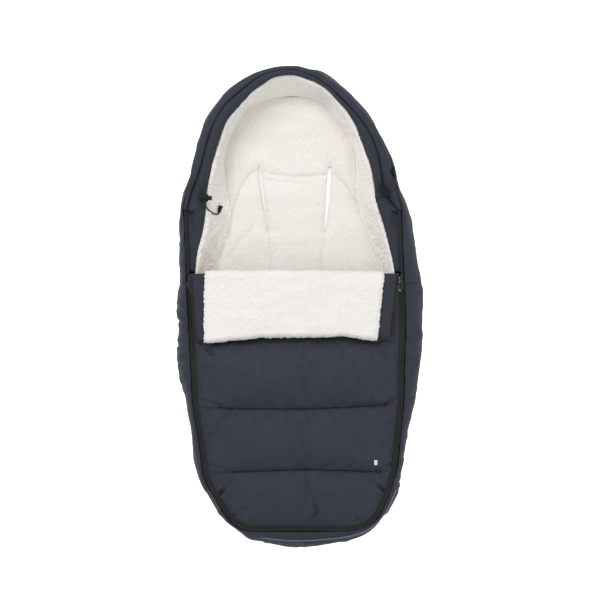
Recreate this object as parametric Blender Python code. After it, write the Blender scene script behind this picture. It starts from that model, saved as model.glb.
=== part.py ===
"""Stroller footmuff lying on its back, head end at +Y, in metres.

The sack is drawn as sections. Rays leave a spine, as rows along the sides and as fans round the
head and the foot, and each ray meets the plan lines of the muff. The distances to those lines give
a section on every ray, and consecutive sections are joined into closed solids.
"""
import math

import bmesh
import bpy
from mathutils import Matrix, Vector

# Whole muff
half_length = 0.480
half_width = 0.248
gap = 0.0004

# Heights above the ground
rim_height = 0.086
foot_rim_height = 0.072
side_height = 0.042
head_side_height = 0.046
crest_seam_height = 0.106
outer_seam_height = 0.086
rim_start_share = -0.92
rim_end_share = -0.16

# Fabric and wadding
shell_thickness = 0.002
fleece_thickness = 0.0045
back_fleece_thickness = 0.006
back_padding_thickness = 0.0115
tuck_width = 0.025

# Rolls of the hood
channel_rise = 0.009
hood_rise_sharpness = 1.15
channel_valley_degrees = 30
facing_drop = 0.0065
facing_tuck = 0.008
facing_rise = 0.005

# Zip
tape_thickness = 0.0012
tape_shown = 0.0065
tape_width = 0.011
tape_edge_gap = 0.0016
edge_lift = 0.0010
teeth_gap = 0.0003
coil_radius = 0.0009

# Places along the muff
hood_share = 0.408
fold_share = 0.129
gusset_seam_share = 0.102
head_centre_share = hood_share
crossing_slack = 1e-6
foot_centre_share = -0.625
head_fan_steps = 16
foot_fan_steps = 20
curve_steps = 6
upper_row_shares = [gusset_seam_share, fold_share, 0.19, 0.26, 0.335, hood_share]
lower_row_shares = [gusset_seam_share, 0.0, -0.11, -0.22, -0.33, -0.43, -0.53, foot_centre_share]

# Plan lines, as shares of the half width and the half length
silhouette_shares = [
    (1.0, 0.02), (0.984, 0.1125), (0.944, 0.2375), (0.903, 0.3625), (0.855, 0.446), (0.79, 0.529),
    (0.75, 0.6125), (0.677, 0.696), (0.589, 0.779), (0.508, 0.8375), (0.423, 0.8875),
    (0.315, 0.9375), (0.218, 0.971), (0.129, 0.991), (-0.081, 1.002), (-0.29, 0.9875),
    (-0.46, 0.954), (-0.589, 0.904), (-0.694, 0.8375), (-0.766, 0.779), (-0.823, 0.696),
    (-0.863, 0.6125), (-0.903, 0.529), (-0.952, 0.446), (-0.968, 0.3625), (-0.976, 0.2375),
    (-0.972, 0.1125), (-1.0, 0.0), (-0.984, -0.09), (-0.992, -0.2), (-0.968, -0.304),
    (-0.919, -0.3875), (-0.887, -0.5125), (-0.857, -0.6375), (-0.81, -0.721), (-0.722, -0.804),
    (-0.636, -0.868), (-0.496, -0.931), (-0.371, -0.971), (-0.161, -0.997), (0.06, -0.9989),
    (0.274, -0.984), (0.42, -0.968), (0.54, -0.94), (0.635, -0.903), (0.722, -0.846),
    (0.786, -0.783), (0.817, -0.71), (0.855, -0.596), (0.871, -0.5125), (0.911, -0.429),
    (0.944, -0.346), (0.976, -0.221), (0.992, -0.096),
]
zip_shares = [
    (-0.911, 0.408), (-0.9063, 0.354), (-0.8962, 0.2375), (-0.8842, 0.1), (-0.8781, 0.03),
    (-0.8737, -0.02), (-0.868, -0.095),
    (-0.855, -0.221), (-0.835, -0.4125), (-0.79, -0.546), (-0.765, -0.6625), (-0.733, -0.721),
    (-0.67, -0.779), (-0.603, -0.836), (-0.53, -0.884), (-0.455, -0.91), (-0.387, -0.9167),
    (-0.2, -0.9167), (0.0, -0.9167), (0.2, -0.9167), (0.347, -0.9167), (0.44, -0.9137),
    (0.52, -0.902), (0.605, -0.865), (0.665, -0.808), (0.71, -0.75), (0.75, -0.679),
    (0.77, -0.604), (0.794, -0.4875), (0.809, -0.3875), (0.817, -0.196), (0.8215, -0.1),
    (0.8220, -0.02), (0.8182, 0.03), (0.8130, 0.1), (0.8027, 0.2375), (0.7940, 0.354),
    (0.79, 0.408),
]
outer_seam_shares = [
    (0.817, 0.408), (0.77, 0.508), (0.742, 0.578), (0.681, 0.667), (0.587, 0.76), (0.434, 0.856),
    (0.353, 0.902), (0.177, 0.964), (0.065, 0.983), (-0.081, 0.9917), (-0.282, 0.977),
    (-0.449, 0.945), (-0.576, 0.896), (-0.677, 0.831), (-0.749, 0.773), (-0.804, 0.692),
    (-0.8435, 0.608), (-0.884, 0.529), (-0.917, 0.467), (-0.939, 0.408),
]
band_seam_shares = [
    (0.79, 0.408), (0.71, 0.454), (0.6645, 0.5125), (0.634, 0.61), (0.571, 0.707),
    (0.492, 0.771), (0.3685, 0.844), (0.197, 0.925), (0.024, 0.972), (-0.081, 0.982),
    (-0.1935, 0.976), (-0.318, 0.955), (-0.4597, 0.9), (-0.598, 0.836), (-0.6935, 0.754),
    (-0.747, 0.675), (-0.794, 0.579), (-0.831, 0.529), (-0.871, 0.475), (-0.911, 0.408),
]
fleece_edge_shares = [
    (0.762, 0.12), (0.766, 0.154), (0.726, 0.2375), (0.685, 0.321), (0.649, 0.383),
    (0.613, 0.446), (0.593, 0.508), (0.573, 0.571), (0.548, 0.6125), (0.516, 0.654),
    (0.461, 0.734), (0.420, 0.774), (0.366, 0.816), (0.303, 0.849), (0.216, 0.899),
    (0.128, 0.931), (0.032, 0.95), (-0.081, 0.961), (-0.21, 0.949), (-0.306, 0.919),
    (-0.387, 0.8875), (-0.452, 0.854), (-0.508, 0.821), (-0.573, 0.779), (-0.613, 0.7375),
    (-0.669, 0.654), (-0.718, 0.571), (-0.746, 0.4875), (-0.758, 0.404), (-0.782, 0.321),
    (-0.823, 0.2375), (-0.843, 0.154), (-0.845, 0.12),
]
crease_shares = [
    (0.66, 0.154), (0.58, 0.279), (0.49, 0.396), (0.45, 0.4875), (0.455, 0.596), (0.425, 0.683),
    (0.323, 0.771), (0.242, 0.829), (0.153, 0.872), (0.0, 0.888), (-0.145, 0.887),
    (-0.298, 0.868), (-0.4435, 0.822), (-0.57, 0.708), (-0.61, 0.62), (-0.597, 0.504),
    (-0.56, 0.396), (-0.63, 0.279), (-0.70, 0.154), (-0.73, -0.0125), (-0.73, -0.221),
    (-0.694, -0.471), (-0.637, -0.646), (-0.532, -0.771), (-0.355, -0.8375), (0.0, -0.854),
    (0.403, -0.8375), (0.548, -0.7625), (0.629, -0.617), (0.669, -0.43), (0.685, -0.22),
    (0.694, 0.03),
]

# Colours
navy = (0.042, 0.051, 0.070)
navy_lining = (0.036, 0.043, 0.058)
cream = (0.87, 0.84, 0.78)
wadding_white = (0.80, 0.80, 0.78)
tape_black = (0.022, 0.022, 0.021)
metal_dark = (0.10, 0.10, 0.11)
plastic_dark = (0.030, 0.032, 0.036)
cord_dark = (0.035, 0.038, 0.046)
steel = (0.62, 0.62, 0.60)
pale_trim = (0.45, 0.46, 0.47)
tag_white = (0.85, 0.85, 0.85)


def clear_scene():
    for obj in list(bpy.data.objects):
        bpy.data.objects.remove(obj)


def blend(first, second, share):
    return first + (second - first) * share


def ease(share):
    share = min(max(share, 0.0), 1.0)
    return share * share * (3 - 2 * share)


def in_plan(shares):
    return [(half_width * x, half_length * y) for x, y in shares]


def smooth_line(points, closed=False, steps=curve_steps):
    """Catmull-Rom curve through the points, in as many dimensions as they have."""
    count = len(points)
    line = []
    for i in range(count if closed else count - 1):
        if closed:
            around = [points[(i + k) % count] for k in (-1, 0, 1, 2)]
        else:
            around = [points[min(max(i + k, 0), count - 1)] for k in (-1, 0, 1, 2)]
        for step in range(steps):
            t = step / steps
            weights = (
                -0.5 * t + t * t - 0.5 * t ** 3,
                1 - 2.5 * t * t + 1.5 * t ** 3,
                0.5 * t + 2 * t * t - 1.5 * t ** 3,
                -0.5 * t * t + 0.5 * t ** 3,
            )
            line.append(tuple(sum(w * p[k] for w, p in zip(weights, around))
                              for k in range(len(points[0]))))
    line.append(tuple(points[0] if closed else points[-1]))
    return line


silhouette = smooth_line(in_plan(silhouette_shares), closed=True)
zip_line = smooth_line(in_plan(zip_shares))
outer_seam = smooth_line(in_plan(outer_seam_shares))
band_seam = smooth_line(in_plan(band_seam_shares))
fleece_edge = smooth_line(in_plan(fleece_edge_shares))
crease = smooth_line(in_plan(crease_shares), closed=True)


class Ray:
    """A level line from the spine outwards, which meets the plan lines at distances from its start."""

    def __init__(self, x, y, angle, in_hood):
        self.start = (x, y)
        self.angle = angle
        self.along = (math.cos(angle), math.sin(angle))
        self.in_hood = in_hood

    def reach(self, line):
        found = []
        for (ax, ay), (bx, by) in zip(line, line[1:]):
            ex, ey = bx - ax, by - ay
            cross = self.along[0] * ey - self.along[1] * ex
            if not cross:
                continue
            dx, dy = ax - self.start[0], ay - self.start[1]
            distance = (dx * ey - dy * ex) / cross
            share = (dx * self.along[1] - dy * self.along[0]) / cross
            if distance > 0 and -crossing_slack <= share <= 1 + crossing_slack:
                found.append(distance)
        return max(found)

    def point(self, distance, height):
        return (self.start[0] + self.along[0] * distance,
                self.start[1] + self.along[1] * distance, height)

    def y_at(self, distance):
        return self.start[1] + self.along[1] * distance


def row(share, side):
    return Ray(0.0, half_length * share, 0.0 if side > 0 else math.pi, share > hood_share)


def head_ray(angle):
    return Ray(0.0, half_length * head_centre_share, angle, True)


def foot_ray(angle):
    return Ray(0.0, half_length * foot_centre_share, angle, False)


def head_fan():
    return [head_ray(math.pi * k / head_fan_steps) for k in range(head_fan_steps + 1)]


def foot_fan():
    return [foot_ray(math.pi * (1 + k / foot_fan_steps)) for k in range(foot_fan_steps + 1)]


def lower_rays(first_share):
    """Rays from the left side at a row, round the foot, to the same row on the right."""
    shares = [first_share] + [share for share in lower_row_shares if share < first_share]
    left = [row(share, -1) for share in shares[:-1]]
    right = [row(share, 1) for share in reversed(shares[:-1])]
    return left + foot_fan() + right


def rim_at(y):
    """Height of the top of the zip tape."""
    share = (y / half_length - rim_start_share) / (rim_end_share - rim_start_share)
    return blend(foot_rim_height, rim_height, ease(share))


def head_share(ray):
    """Nought at the ends of the hood, one over the top of the head."""
    return ease(math.sin(ray.angle) * hood_rise_sharpness) if ray.in_hood else 0.0


def arc(centre, across, height, start_degrees, end_degrees, steps):
    """Points of an ellipse in a section, as distance along the ray and height."""
    points = []
    for k in range(steps + 1):
        angle = math.radians(blend(start_degrees, end_degrees, k / steps))
        points.append((centre[0] + across * math.cos(angle), centre[1] + height * math.sin(angle)))
    return points


def halved(line):
    """The line with a point added in the middle of each piece."""
    points = [line[0]]
    for (ax, az), (bx, bz) in zip(line, line[1:]):
        points += [((ax + bx) / 2, (az + bz) / 2), (bx, bz)]
    return points


def offset(line, amount):
    """The line moved to the left of its direction of travel."""
    normals = []
    for (ax, az), (bx, bz) in zip(line, line[1:]):
        length = math.hypot(bx - ax, bz - az)
        normals.append((-(bz - az) / length, (bx - ax) / length))
    moved = []
    for k, (x, z) in enumerate(line):
        before = normals[max(k - 1, 0)]
        after = normals[min(k, len(normals) - 1)]
        nx, nz = before[0] + after[0], before[1] + after[1]
        scale = 2 / (nx * nx + nz * nz)
        moved.append((x + nx * scale * amount, z + nz * scale * amount))
    return moved


def wall_offset(line, amount):
    """An offset whose first point stays over the base seam."""
    return [(line[0][0], line[0][1] + amount)] + offset(line, amount)[1:]


def trimmed(line, start, end):
    """The line with its first and last pieces shortened."""
    line = list(line)
    for at, beside, cut in ((0, 1, start), (-1, -2, end)):
        (ax, az), (bx, bz) = line[at], line[beside]
        share = cut / math.hypot(bx - ax, bz - az)
        line[at] = (blend(ax, bx, share), blend(az, bz, share))
    return line


def material(name, colour, roughness, metallic=0.0):
    made = bpy.data.materials.new(name)
    made.use_nodes = True
    shader = made.node_tree.nodes["Principled BSDF"]
    shader.inputs["Base Color"].default_value = (*colour, 1.0)
    shader.inputs["Roughness"].default_value = roughness
    shader.inputs["Metallic"].default_value = metallic
    return made


def add_object(name, mesh, finish, parent):
    """An object from a finished bmesh, carried by its parent with its place kept."""
    data = bpy.data.meshes.new(name)
    mesh.to_mesh(data)
    mesh.free()
    obj = bpy.data.objects.new(name, data)
    bpy.context.scene.collection.objects.link(obj)
    data.materials.append(material(name, *finish))
    carry(obj, parent)
    return obj


def carry(obj, parent):
    if parent:
        obj.parent = parent
        obj.matrix_parent_inverse = parent.matrix_world.inverted()


def pivot(name, place, parent=None):
    empty = bpy.data.objects.new(name, None)
    bpy.context.scene.collection.objects.link(empty)
    empty.location = place
    bpy.context.view_layer.update()
    if parent:
        empty.parent = parent
        empty.matrix_parent_inverse = parent.matrix_world.inverted()
        bpy.context.view_layer.update()
    return empty


def loft(name, sections, finish, ring=False, parent=None, doubled=True):
    """Closed solid through sections with as many points each; a ring joins the last to the first.

    A doubled section runs along a face and back behind it, and its two sides are split alike.
    """
    mesh = bmesh.new()
    rows = [[mesh.verts.new(point) for point in section] for section in sections]
    following = rows[1:] + rows[:1] if ring else rows[1:]
    for here, there in zip(rows, following):
        for k in range(len(here)):
            n = (k + 1) % len(here)
            if doubled and k >= len(here) // 2:
                mesh.faces.new((here[k], here[n], there[k]))
                mesh.faces.new((here[n], there[n], there[k]))
            else:
                mesh.faces.new((here[k], here[n], there[n]))
                mesh.faces.new((here[k], there[n], there[k]))
    if not ring:
        mesh.faces.new(rows[0])
        mesh.faces.new(rows[-1])
    bmesh.ops.recalc_face_normals(mesh, faces=mesh.faces)
    return add_object(name, mesh, finish, parent)


def slab(name, top, bottom, finish, parent=None):
    """Closed solid between two grids of points that lie over each other."""
    mesh = bmesh.new()
    upper = [[mesh.verts.new(point) for point in line] for line in top]
    lower = [[mesh.verts.new(point) for point in line] for line in bottom]
    last_row, last_column = len(top) - 1, len(top[0]) - 1
    for j in range(last_row):
        for i in range(last_column):
            for grid in (upper, lower):
                a, b, c, d = grid[j][i], grid[j][i + 1], grid[j + 1][i + 1], grid[j + 1][i]
                mesh.faces.new((a, b, c))
                mesh.faces.new((a, c, d))
    border = [(0, i) for i in range(last_column)] + [(j, last_column) for j in range(last_row)]
    border += [(last_row, i) for i in range(last_column, 0, -1)] + [(j, 0) for j in range(last_row, 0, -1)]
    for (j, i), (m, n) in zip(border, border[1:] + border[:1]):
        mesh.faces.new((upper[j][i], upper[m][n], lower[m][n], lower[j][i]))
    bmesh.ops.recalc_face_normals(mesh, faces=mesh.faces)
    return add_object(name, mesh, finish, parent)


clear_scene()

# Back of the sack: layers lying on the ground, with two harness slots through them
floor_height = shell_thickness + gap + back_padding_thickness + gap + back_fleece_thickness
joint_share = gap / half_length
slot_opening = 0.0075
slot_wall = 0.0012
slot_lip = 0.001
slot_foot = 0.0005
slot_end_steps = 4
slot_ends_shares = {
    "left": ((-0.335, 0.592), (-0.262, 0.325)),
    "right": ((0.245, 0.592), (0.206, 0.325)),
}

# Wall of the sack
wall_arc_steps = 4
lining_steps = 5
lining_bend_share = 0.6
lining_drop = 0.0016
leg_lining_inset = 0.001
wall_least = 0.009
padding_least = 0.001
band_steps = 4
band_puff_share = 0.2
channel_steps = 6
facing_valley_degrees = 60
facing_row_shares = [0.15, 0.19, 0.26, 0.335, hood_share - 2 * joint_share]


def upper_rays(first_share, open_ends=True):
    """Rays from the right side at a row, over the head, to the same row on the left."""
    shares = [share for share in upper_row_shares if share >= first_share]
    fan = head_fan()
    if not open_ends:
        fan[0] = row(hood_share, 1)
        fan[-1] = row(hood_share, -1)
    right = [row(share, 1) for share in shares[:-1]]
    left = [row(share, -1) for share in reversed(shares[:-1])]
    return right + fan + left


def mid_height(ray):
    return blend(side_height, head_side_height, head_share(ray))


def gusset_line(ray):
    """Outer face of the wall, from the base seam round the side to the seam or zip above it."""
    side = ray.reach(silhouette)
    if ray.in_hood:
        edge = ray.reach(outer_seam)
        top = blend(rim_height + edge_lift + shell_thickness, outer_seam_height, head_share(ray))
    else:
        edge = ray.reach(zip_line) + tape_shown
        top = rim_at(ray.y_at(edge)) + edge_lift + shell_thickness
    middle = mid_height(ray)
    lower = arc((side - tuck_width, middle), tuck_width, middle, -90, 0, wall_arc_steps)
    upper = arc((edge, middle), side - edge, top - middle, 0, 90, wall_arc_steps)
    return lower + upper[1:]


def hood_line(ray):
    """Outer face of the hood, from the base seam over the band and the drawcord channel."""
    line = gusset_line(ray)
    edge, top = line[-1]
    seam = ray.reach(band_seam)
    crest = blend(rim_height, crest_seam_height, head_share(ray))
    across, rise = seam - edge, crest - top
    for k in range(1, band_steps + 1):
        share = k / band_steps
        puff = band_puff_share * (1 - (2 * share - 1) ** 2)
        line.append((edge + across * share + rise * puff, top + rise * share - across * puff))
    return line + channel_arc(seam, ray.reach(fleece_edge), crest, channel_rise, channel_valley_degrees)


def channel_arc(outer, inner, height, rise, valley_degrees):
    """Roll of fabric between a seam and an inner edge, without its first point."""
    valley = math.radians(valley_degrees)
    reach = (outer - inner) / (1 + math.cos(valley))
    centre = (inner + reach, height - rise * math.sin(valley))
    return arc(centre, reach, rise, valley_degrees, 180, channel_steps)[1:]


def facing_line(ray):
    """Upper face of the strip between the zip and the fleece, which starts under the zip tape."""
    teeth = ray.reach(zip_line)
    height = rim_at(ray.y_at(teeth)) - facing_drop
    roll = channel_arc(teeth, ray.reach(fleece_edge), height, facing_rise, facing_valley_degrees)
    return [(teeth + facing_tuck, height), (teeth, height)] + roll


def lining_top(ray):
    """Where the lining of the wall starts, under the edge of the channel, the facing or the zip."""
    if ray.in_hood:
        inner, height = hood_line(ray)[-1]
        return inner, height - lining_drop
    teeth = ray.reach(zip_line)
    if ray.start[1] >= half_length * fold_share - gap / 2:
        inner, height = facing_line(ray)[-1]
        return inner, height - lining_drop
    inner = min(teeth + leg_lining_inset, ray.reach(silhouette) - wall_least)
    return inner, rim_at(ray.y_at(inner)) - facing_drop - shell_thickness


def lining_face(ray):
    inner, height = lining_top(ray)
    foot = ray.reach(crease)
    face = []
    for k in range(lining_steps + 1):
        share = k / lining_steps
        drop_share = blend(share, ease(share), lining_bend_share)
        face.append((blend(inner, foot, share), blend(height, floor_height, drop_share)))
    return face


def padding_section(ray):
    """Wadding that fills the wall between its shell and its lining."""
    inner_face = offset(lining_face(ray), fleece_thickness + gap)
    clear = shell_thickness + gap
    if ray.in_hood:
        count = 2 * wall_arc_steps + band_steps + 1
        outer_face = wall_offset(hood_line(ray), clear)[:count]
    else:
        side = ray.reach(silhouette) - clear
        teeth = ray.reach(zip_line)
        top = rim_at(ray.y_at(teeth)) - facing_drop - clear - gap
        start = max(inner_face[0][0] + padding_least, min(teeth, side - wall_least))
        lower = wall_offset(gusset_line(ray), clear)[:wall_arc_steps + 1]
        middle = mid_height(ray)
        upper = halved(arc((start, middle), side - start, top - middle, 0, 90, wall_arc_steps))
        outer_face = lower + upper[1:]
    return in_space(ray, outer_face + inner_face + [(ray.reach(crease), clear)])


def in_space(ray, section):
    return [ray.point(distance, height) for distance, height in section]


def skin(ray, line, first, last, trims=(gap, gap)):
    """Section of a fabric skin between two points of an outer face."""
    inner = wall_offset(line, shell_thickness) if first == 0 else offset(line, shell_thickness)
    face = trimmed(line[first:last + 1], *trims)
    back = trimmed(inner[first:last + 1], *trims)
    return in_space(ray, face + back[::-1])


def lining_section(ray):
    face = lining_face(ray)
    return in_space(ray, face + offset(face, fleece_thickness)[::-1])


def panel(name, line, bottom, top, finish):
    """Flat layer with an outline in plan."""
    mesh = bmesh.new()
    lower = [mesh.verts.new((x, y, bottom)) for x, y in line]
    upper = [mesh.verts.new((x, y, top)) for x, y in line]
    mesh.faces.new(lower)
    mesh.faces.new(upper)
    for k in range(len(line)):
        n = (k + 1) % len(line)
        mesh.faces.new((lower[k], lower[n], upper[n], upper[k]))
    bmesh.ops.recalc_face_normals(mesh, faces=mesh.faces)
    return add_object(name, mesh, finish, None)


def slot_outline(side, width):
    """Long hole with round ends, in plan."""
    (ax, ay), (bx, by) = in_plan(slot_ends_shares[side])
    turn = math.atan2(by - ay, bx - ax)
    outline = []
    for (x, y), start in (((bx, by), -90), ((ax, ay), 90)):
        for k in range(slot_end_steps + 1):
            angle = turn + math.radians(start + 180 * k / slot_end_steps)
            outline.append((x + width / 2 * math.cos(angle), y + width / 2 * math.sin(angle)))
    return outline


def centre_outline(inset):
    """Panel between the middles of the two harness slots, in plan."""
    left_top, left_foot = in_plan(slot_ends_shares["left"])
    right_top, right_foot = in_plan(slot_ends_shares["right"])
    return [(left_top[0], left_top[1] - inset), (left_foot[0], left_foot[1] + inset),
            (right_foot[0], right_foot[1] + inset), (right_top[0], right_top[1] - inset)]


def kept_side(line, start, end):
    """Part of an outline in plan that lies to the left of a straight cut from start to end."""
    def side_of(x, y):
        return (end[0] - start[0]) * (y - start[1]) - (end[1] - start[1]) * (x - start[0])

    kept = []
    for (ax, ay), (bx, by) in zip(line, line[1:] + line[:1]):
        here, there = side_of(ax, ay), side_of(bx, by)
        if here >= 0:
            kept.append((ax, ay))
        if here * there < 0:
            share = here / (here - there)
            kept.append((blend(ax, bx, share), blend(ay, by, share)))
    return kept


def shell_panels(line):
    """Outlines of the back shell's panels, which meet at the harness slots."""
    left_top, left_foot = in_plan(slot_ends_shares["left"])
    right_top, right_foot = in_plan(slot_ends_shares["right"])
    top, foot = left_top[1], left_foot[1]
    upwards, downwards = half_width, -half_width
    middle = kept_side(line, (0, top - gap / 2), (downwards, top - gap / 2))
    middle = kept_side(middle, (0, foot + gap / 2), (upwards, foot + gap / 2))
    return {
        "head": kept_side(line, (0, top + gap / 2), (upwards, top + gap / 2)),
        "left": kept_side(middle, left_foot, left_top),
        "centre": centre_outline(gap),
        "right": kept_side(middle, right_top, right_foot),
        "foot": kept_side(line, (0, foot - gap / 2), (downwards, foot - gap / 2)),
    }


def cut(target, cutter):
    """Takes a helper solid out of an object."""
    cutter.hide_render = True
    cutter.display_type = "WIRE"
    modifier = target.modifiers.new(cutter.name, "BOOLEAN")
    modifier.operation = "DIFFERENCE"
    modifier.solver = "EXACT"
    modifier.object = cutter


def build_back():
    rays = upper_rays(gusset_seam_share) + lower_rays(gusset_seam_share)[1:-1]
    shell_line = [ray.point(ray.reach(silhouette) - tuck_width - gap, 0)[:2] for ray in rays]
    inner_line = [ray.point(ray.reach(crease) - gap, 0)[:2] for ray in rays]
    padding_foot = shell_thickness + gap
    fleece_foot = floor_height - back_fleece_thickness
    top = floor_height + slot_lip
    lining = panel("back_lining", inner_line, fleece_foot, floor_height, (cream, 0.95))
    cut(lining, panel("centre_cutter", centre_outline(0), -slot_lip, top + slot_lip, (navy, 0.8)))
    layers = [
        lining,
        panel("back_padding", inner_line, padding_foot, fleece_foot - gap, (wadding_white, 0.95)),
        panel("centre_back_lining", centre_outline(gap), fleece_foot, floor_height, (cream, 0.95)),
    ]
    for place, outline in shell_panels(shell_line).items():
        layers.append(panel("back_shell_" + place, outline, 0, shell_thickness, (navy, 0.8)))
    for side in slot_ends_shares:
        outer_width = slot_opening + 2 * slot_wall
        hole = panel("slot_cutter_" + side, slot_outline(side, outer_width + 2 * gap), -slot_lip,
                     top + slot_lip, (navy, 0.8))
        for layer in layers:
            cut(layer, hole)
        binding = panel("slot_binding_" + side, slot_outline(side, outer_width), slot_foot, top, (navy, 0.7))
        cut(binding, panel("slot_opening_" + side, slot_outline(side, slot_opening), -slot_lip,
                           top + slot_lip, (navy, 0.7)))


def build_walls():
    gusset_last = 2 * wall_arc_steps
    below_seam = gusset_seam_share - joint_share
    below_fold = fold_share - joint_share

    def gusset_skin(ray):
        line = hood_line(ray) if ray.in_hood else gusset_line(ray)
        return skin(ray, line, 0, gusset_last, (0, gap))

    loft("upper_gusset", [gusset_skin(ray) for ray in upper_rays(gusset_seam_share)], (navy, 0.8))
    loft("lower_gusset", [gusset_skin(ray) for ray in lower_rays(below_seam)], (navy, 0.8))
    upper = upper_rays(fold_share, open_ends=False)
    lower = lower_rays(below_fold)
    loft("upper_wall_padding", [padding_section(ray) for ray in upper], (wadding_white, 0.95),
         doubled=False)
    loft("lower_wall_padding", [padding_section(ray) for ray in lower], (wadding_white, 0.95),
         doubled=False)
    loft("hood_lining", [lining_section(ray) for ray in upper], (cream, 0.95))
    loft("leg_lining", [lining_section(ray) for ray in lower], (cream, 0.95))


def build_hood():
    first = 2 * wall_arc_steps
    seam = first + band_steps
    last = seam + channel_steps
    lines = [(ray, hood_line(ray)) for ray in head_fan()]
    loft("hood_band", [skin(ray, line, first, seam) for ray, line in lines], (navy, 0.8))
    loft("drawcord_channel", [skin(ray, line, seam, last, (gap, 0)) for ray, line in lines],
         (navy_lining, 0.7))
    for name, side in (("facing_left", -1), ("facing_right", 1)):
        sections = []
        for share in facing_row_shares:
            ray = row(share, side)
            line = facing_line(ray)
            sections.append(in_space(ray, line + offset(line, shell_thickness)[::-1]))
        loft(name, sections, (navy_lining, 0.7))


build_back()
build_walls()
build_hood()

# Zip round the opening: the sack's half outside the teeth line, the cover's half inside it
zip_path = smooth_line(in_plan(zip_shares), steps=2)
zip_end_clearance = 0.0015
cover_tape_end = 0.033
coil_drop = tape_thickness + gap + coil_radius

# Cover
hinge_y = min(y for x, y in zip_line)
fold_y = half_length * fold_share
cover_length = fold_y - hinge_y
cover_top_rise = 0.017
cover_leg_rise = 0.027
cover_slope_width = 0.075
crown_sharpness = 2.2
cover_padding_thickness = 0.0095
cover_lining_slope_width = 0.050
cover_inner_inset = 0.0135
seam_depth = 0.010
quilt_puff = 0.005
cover_foot_x_shares = (-0.40, 0.36)
seam_row_shares = (0.231, 0.482)
seam_half_share = 0.023
cuff_hem_row_share = 0.745
leg_rise_start_share = 0.66
cover_row_shares = [
    0.05, 0.085, 0.13, 0.17, 0.208, 0.231, 0.254, 0.30, 0.36, 0.42, 0.459, 0.482, 0.505,
    0.57, 0.66, 0.745, 0.87, 1.0,
]
cover_foot_column_shares = (0.06, 0.94)
cover_column_shares = [0.0, 0.06, 0.16, 0.32, 0.5, 0.68, 0.84, 0.94, 1.0]
tag_size = (0.009, 0.011, 0.0008)
tag_shares = (0.605, -0.637)


def side_normals(path):
    """Level directions to the left of the path at each point."""
    normals = []
    for k in range(len(path)):
        (ax, ay), (bx, by) = path[max(k - 1, 0)], path[min(k + 1, len(path) - 1)]
        length = math.hypot(bx - ax, by - ay)
        normals.append((-(by - ay) / length, (bx - ax) / length))
    return normals


def below(path, limit):
    """The middle stretch of the path that lies under a height in plan."""
    kept = []
    for (ax, ay), (bx, by) in zip(path, path[1:]):
        if ay <= limit:
            kept.append((ax, ay))
        if (ay - limit) * (by - limit) < 0:
            kept.append((blend(ax, bx, (limit - ay) / (by - ay)), limit))
    return kept


def sweep(name, path, profile, finish, parent=None):
    """Closed solid along a path in plan; the profile holds inward distances and heights from the rim."""
    sections = []
    for (x, y), (nx, ny) in zip(path, side_normals(path)):
        base = rim_at(y)
        sections.append([(x + nx * inward, y + ny * inward, base + height) for inward, height in profile])
    return loft(name, sections, finish, parent=parent, doubled=False)


def tape_profile(start, end):
    return [(start, 0), (end, 0), (end, -tape_thickness), (start, -tape_thickness)]


def coil_profile(side):
    centre = side * (teeth_gap + coil_radius)
    return [(centre + coil_radius, -coil_drop), (centre, coil_radius - coil_drop),
            (centre - coil_radius, -coil_drop), (centre, -coil_radius - coil_drop)]


def build_zip(cover_pivot):
    sack_path = below(zip_path, half_length * hood_share - zip_end_clearance)
    cover_path = below(zip_path, cover_tape_end)
    outer_edge = tape_shown - tape_edge_gap
    sweep("sack_zip_tape", sack_path, tape_profile(-teeth_gap, -outer_edge), (tape_black, 0.8))
    sweep("sack_zip_coil", sack_path, coil_profile(-1), (plastic_dark, 0.4))
    sweep("cover_zip_tape", cover_path, tape_profile(teeth_gap, tape_width), (tape_black, 0.8), cover_pivot)
    sweep("cover_zip_coil", cover_path, coil_profile(1), (plastic_dark, 0.4), cover_pivot)


def zip_inset(amount):
    return [(x + nx * amount, y + ny * amount) for (x, y), (nx, ny) in zip(zip_line, side_normals(zip_line))]


def crossings(line, y):
    """Leftmost and rightmost places where a line in plan crosses a row."""
    found = [blend(ax, bx, (y - ay) / (by - ay)) for (ax, ay), (bx, by) in zip(line, line[1:])
             if (ay - y) * (by - y) <= 0 and ay != by]
    return min(found), max(found)


def zip_distance(x, y):
    """How far a place in plan lies from the teeth line."""
    best = half_length
    for (ax, ay), (bx, by) in zip(zip_line, zip_line[1:]):
        ex, ey = bx - ax, by - ay
        share = min(max(((x - ax) * ex + (y - ay) * ey) / (ex * ex + ey * ey), 0), 1)
        best = min(best, math.hypot(x - ax - share * ex, y - ay - share * ey))
    return best


def cover_top(x, y):
    """Height of the cover's upper face, with its crown, its two sewn channels and its flat cuff end."""
    along = (y - hinge_y) / cover_length
    inside = (zip_distance(x, y) - tape_shown) / cover_slope_width
    crown = 1 - (1 - min(max(inside, 0), 1)) ** crown_sharpness
    edge = rim_at(y) + gap + shell_thickness
    cuff_rise = rim_height + cover_top_rise - gap / 2 - edge
    leg = 1 - ease((along - leg_rise_start_share) / (cuff_hem_row_share - leg_rise_start_share))
    rise = blend(cuff_rise, cover_leg_rise, leg)
    bounds = [0, *seam_row_shares, cuff_hem_row_share]
    for low, high in zip(bounds, bounds[1:]):
        if low < along < high:
            rise += quilt_puff * math.sin(math.pi * (along - low) / (high - low))
    for seam in seam_row_shares:
        rise -= seam_depth * max(0, 1 - abs(along - seam) / seam_half_share)
    return edge + rise * crown


def cover_lining_top(x, y):
    share = ease((zip_distance(x, y) - cover_inner_inset) / cover_lining_slope_width)
    middle = cover_top(x, y) - shell_thickness - 2 * gap - cover_padding_thickness
    return blend(rim_at(y) - tape_thickness - gap, middle, share)


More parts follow.
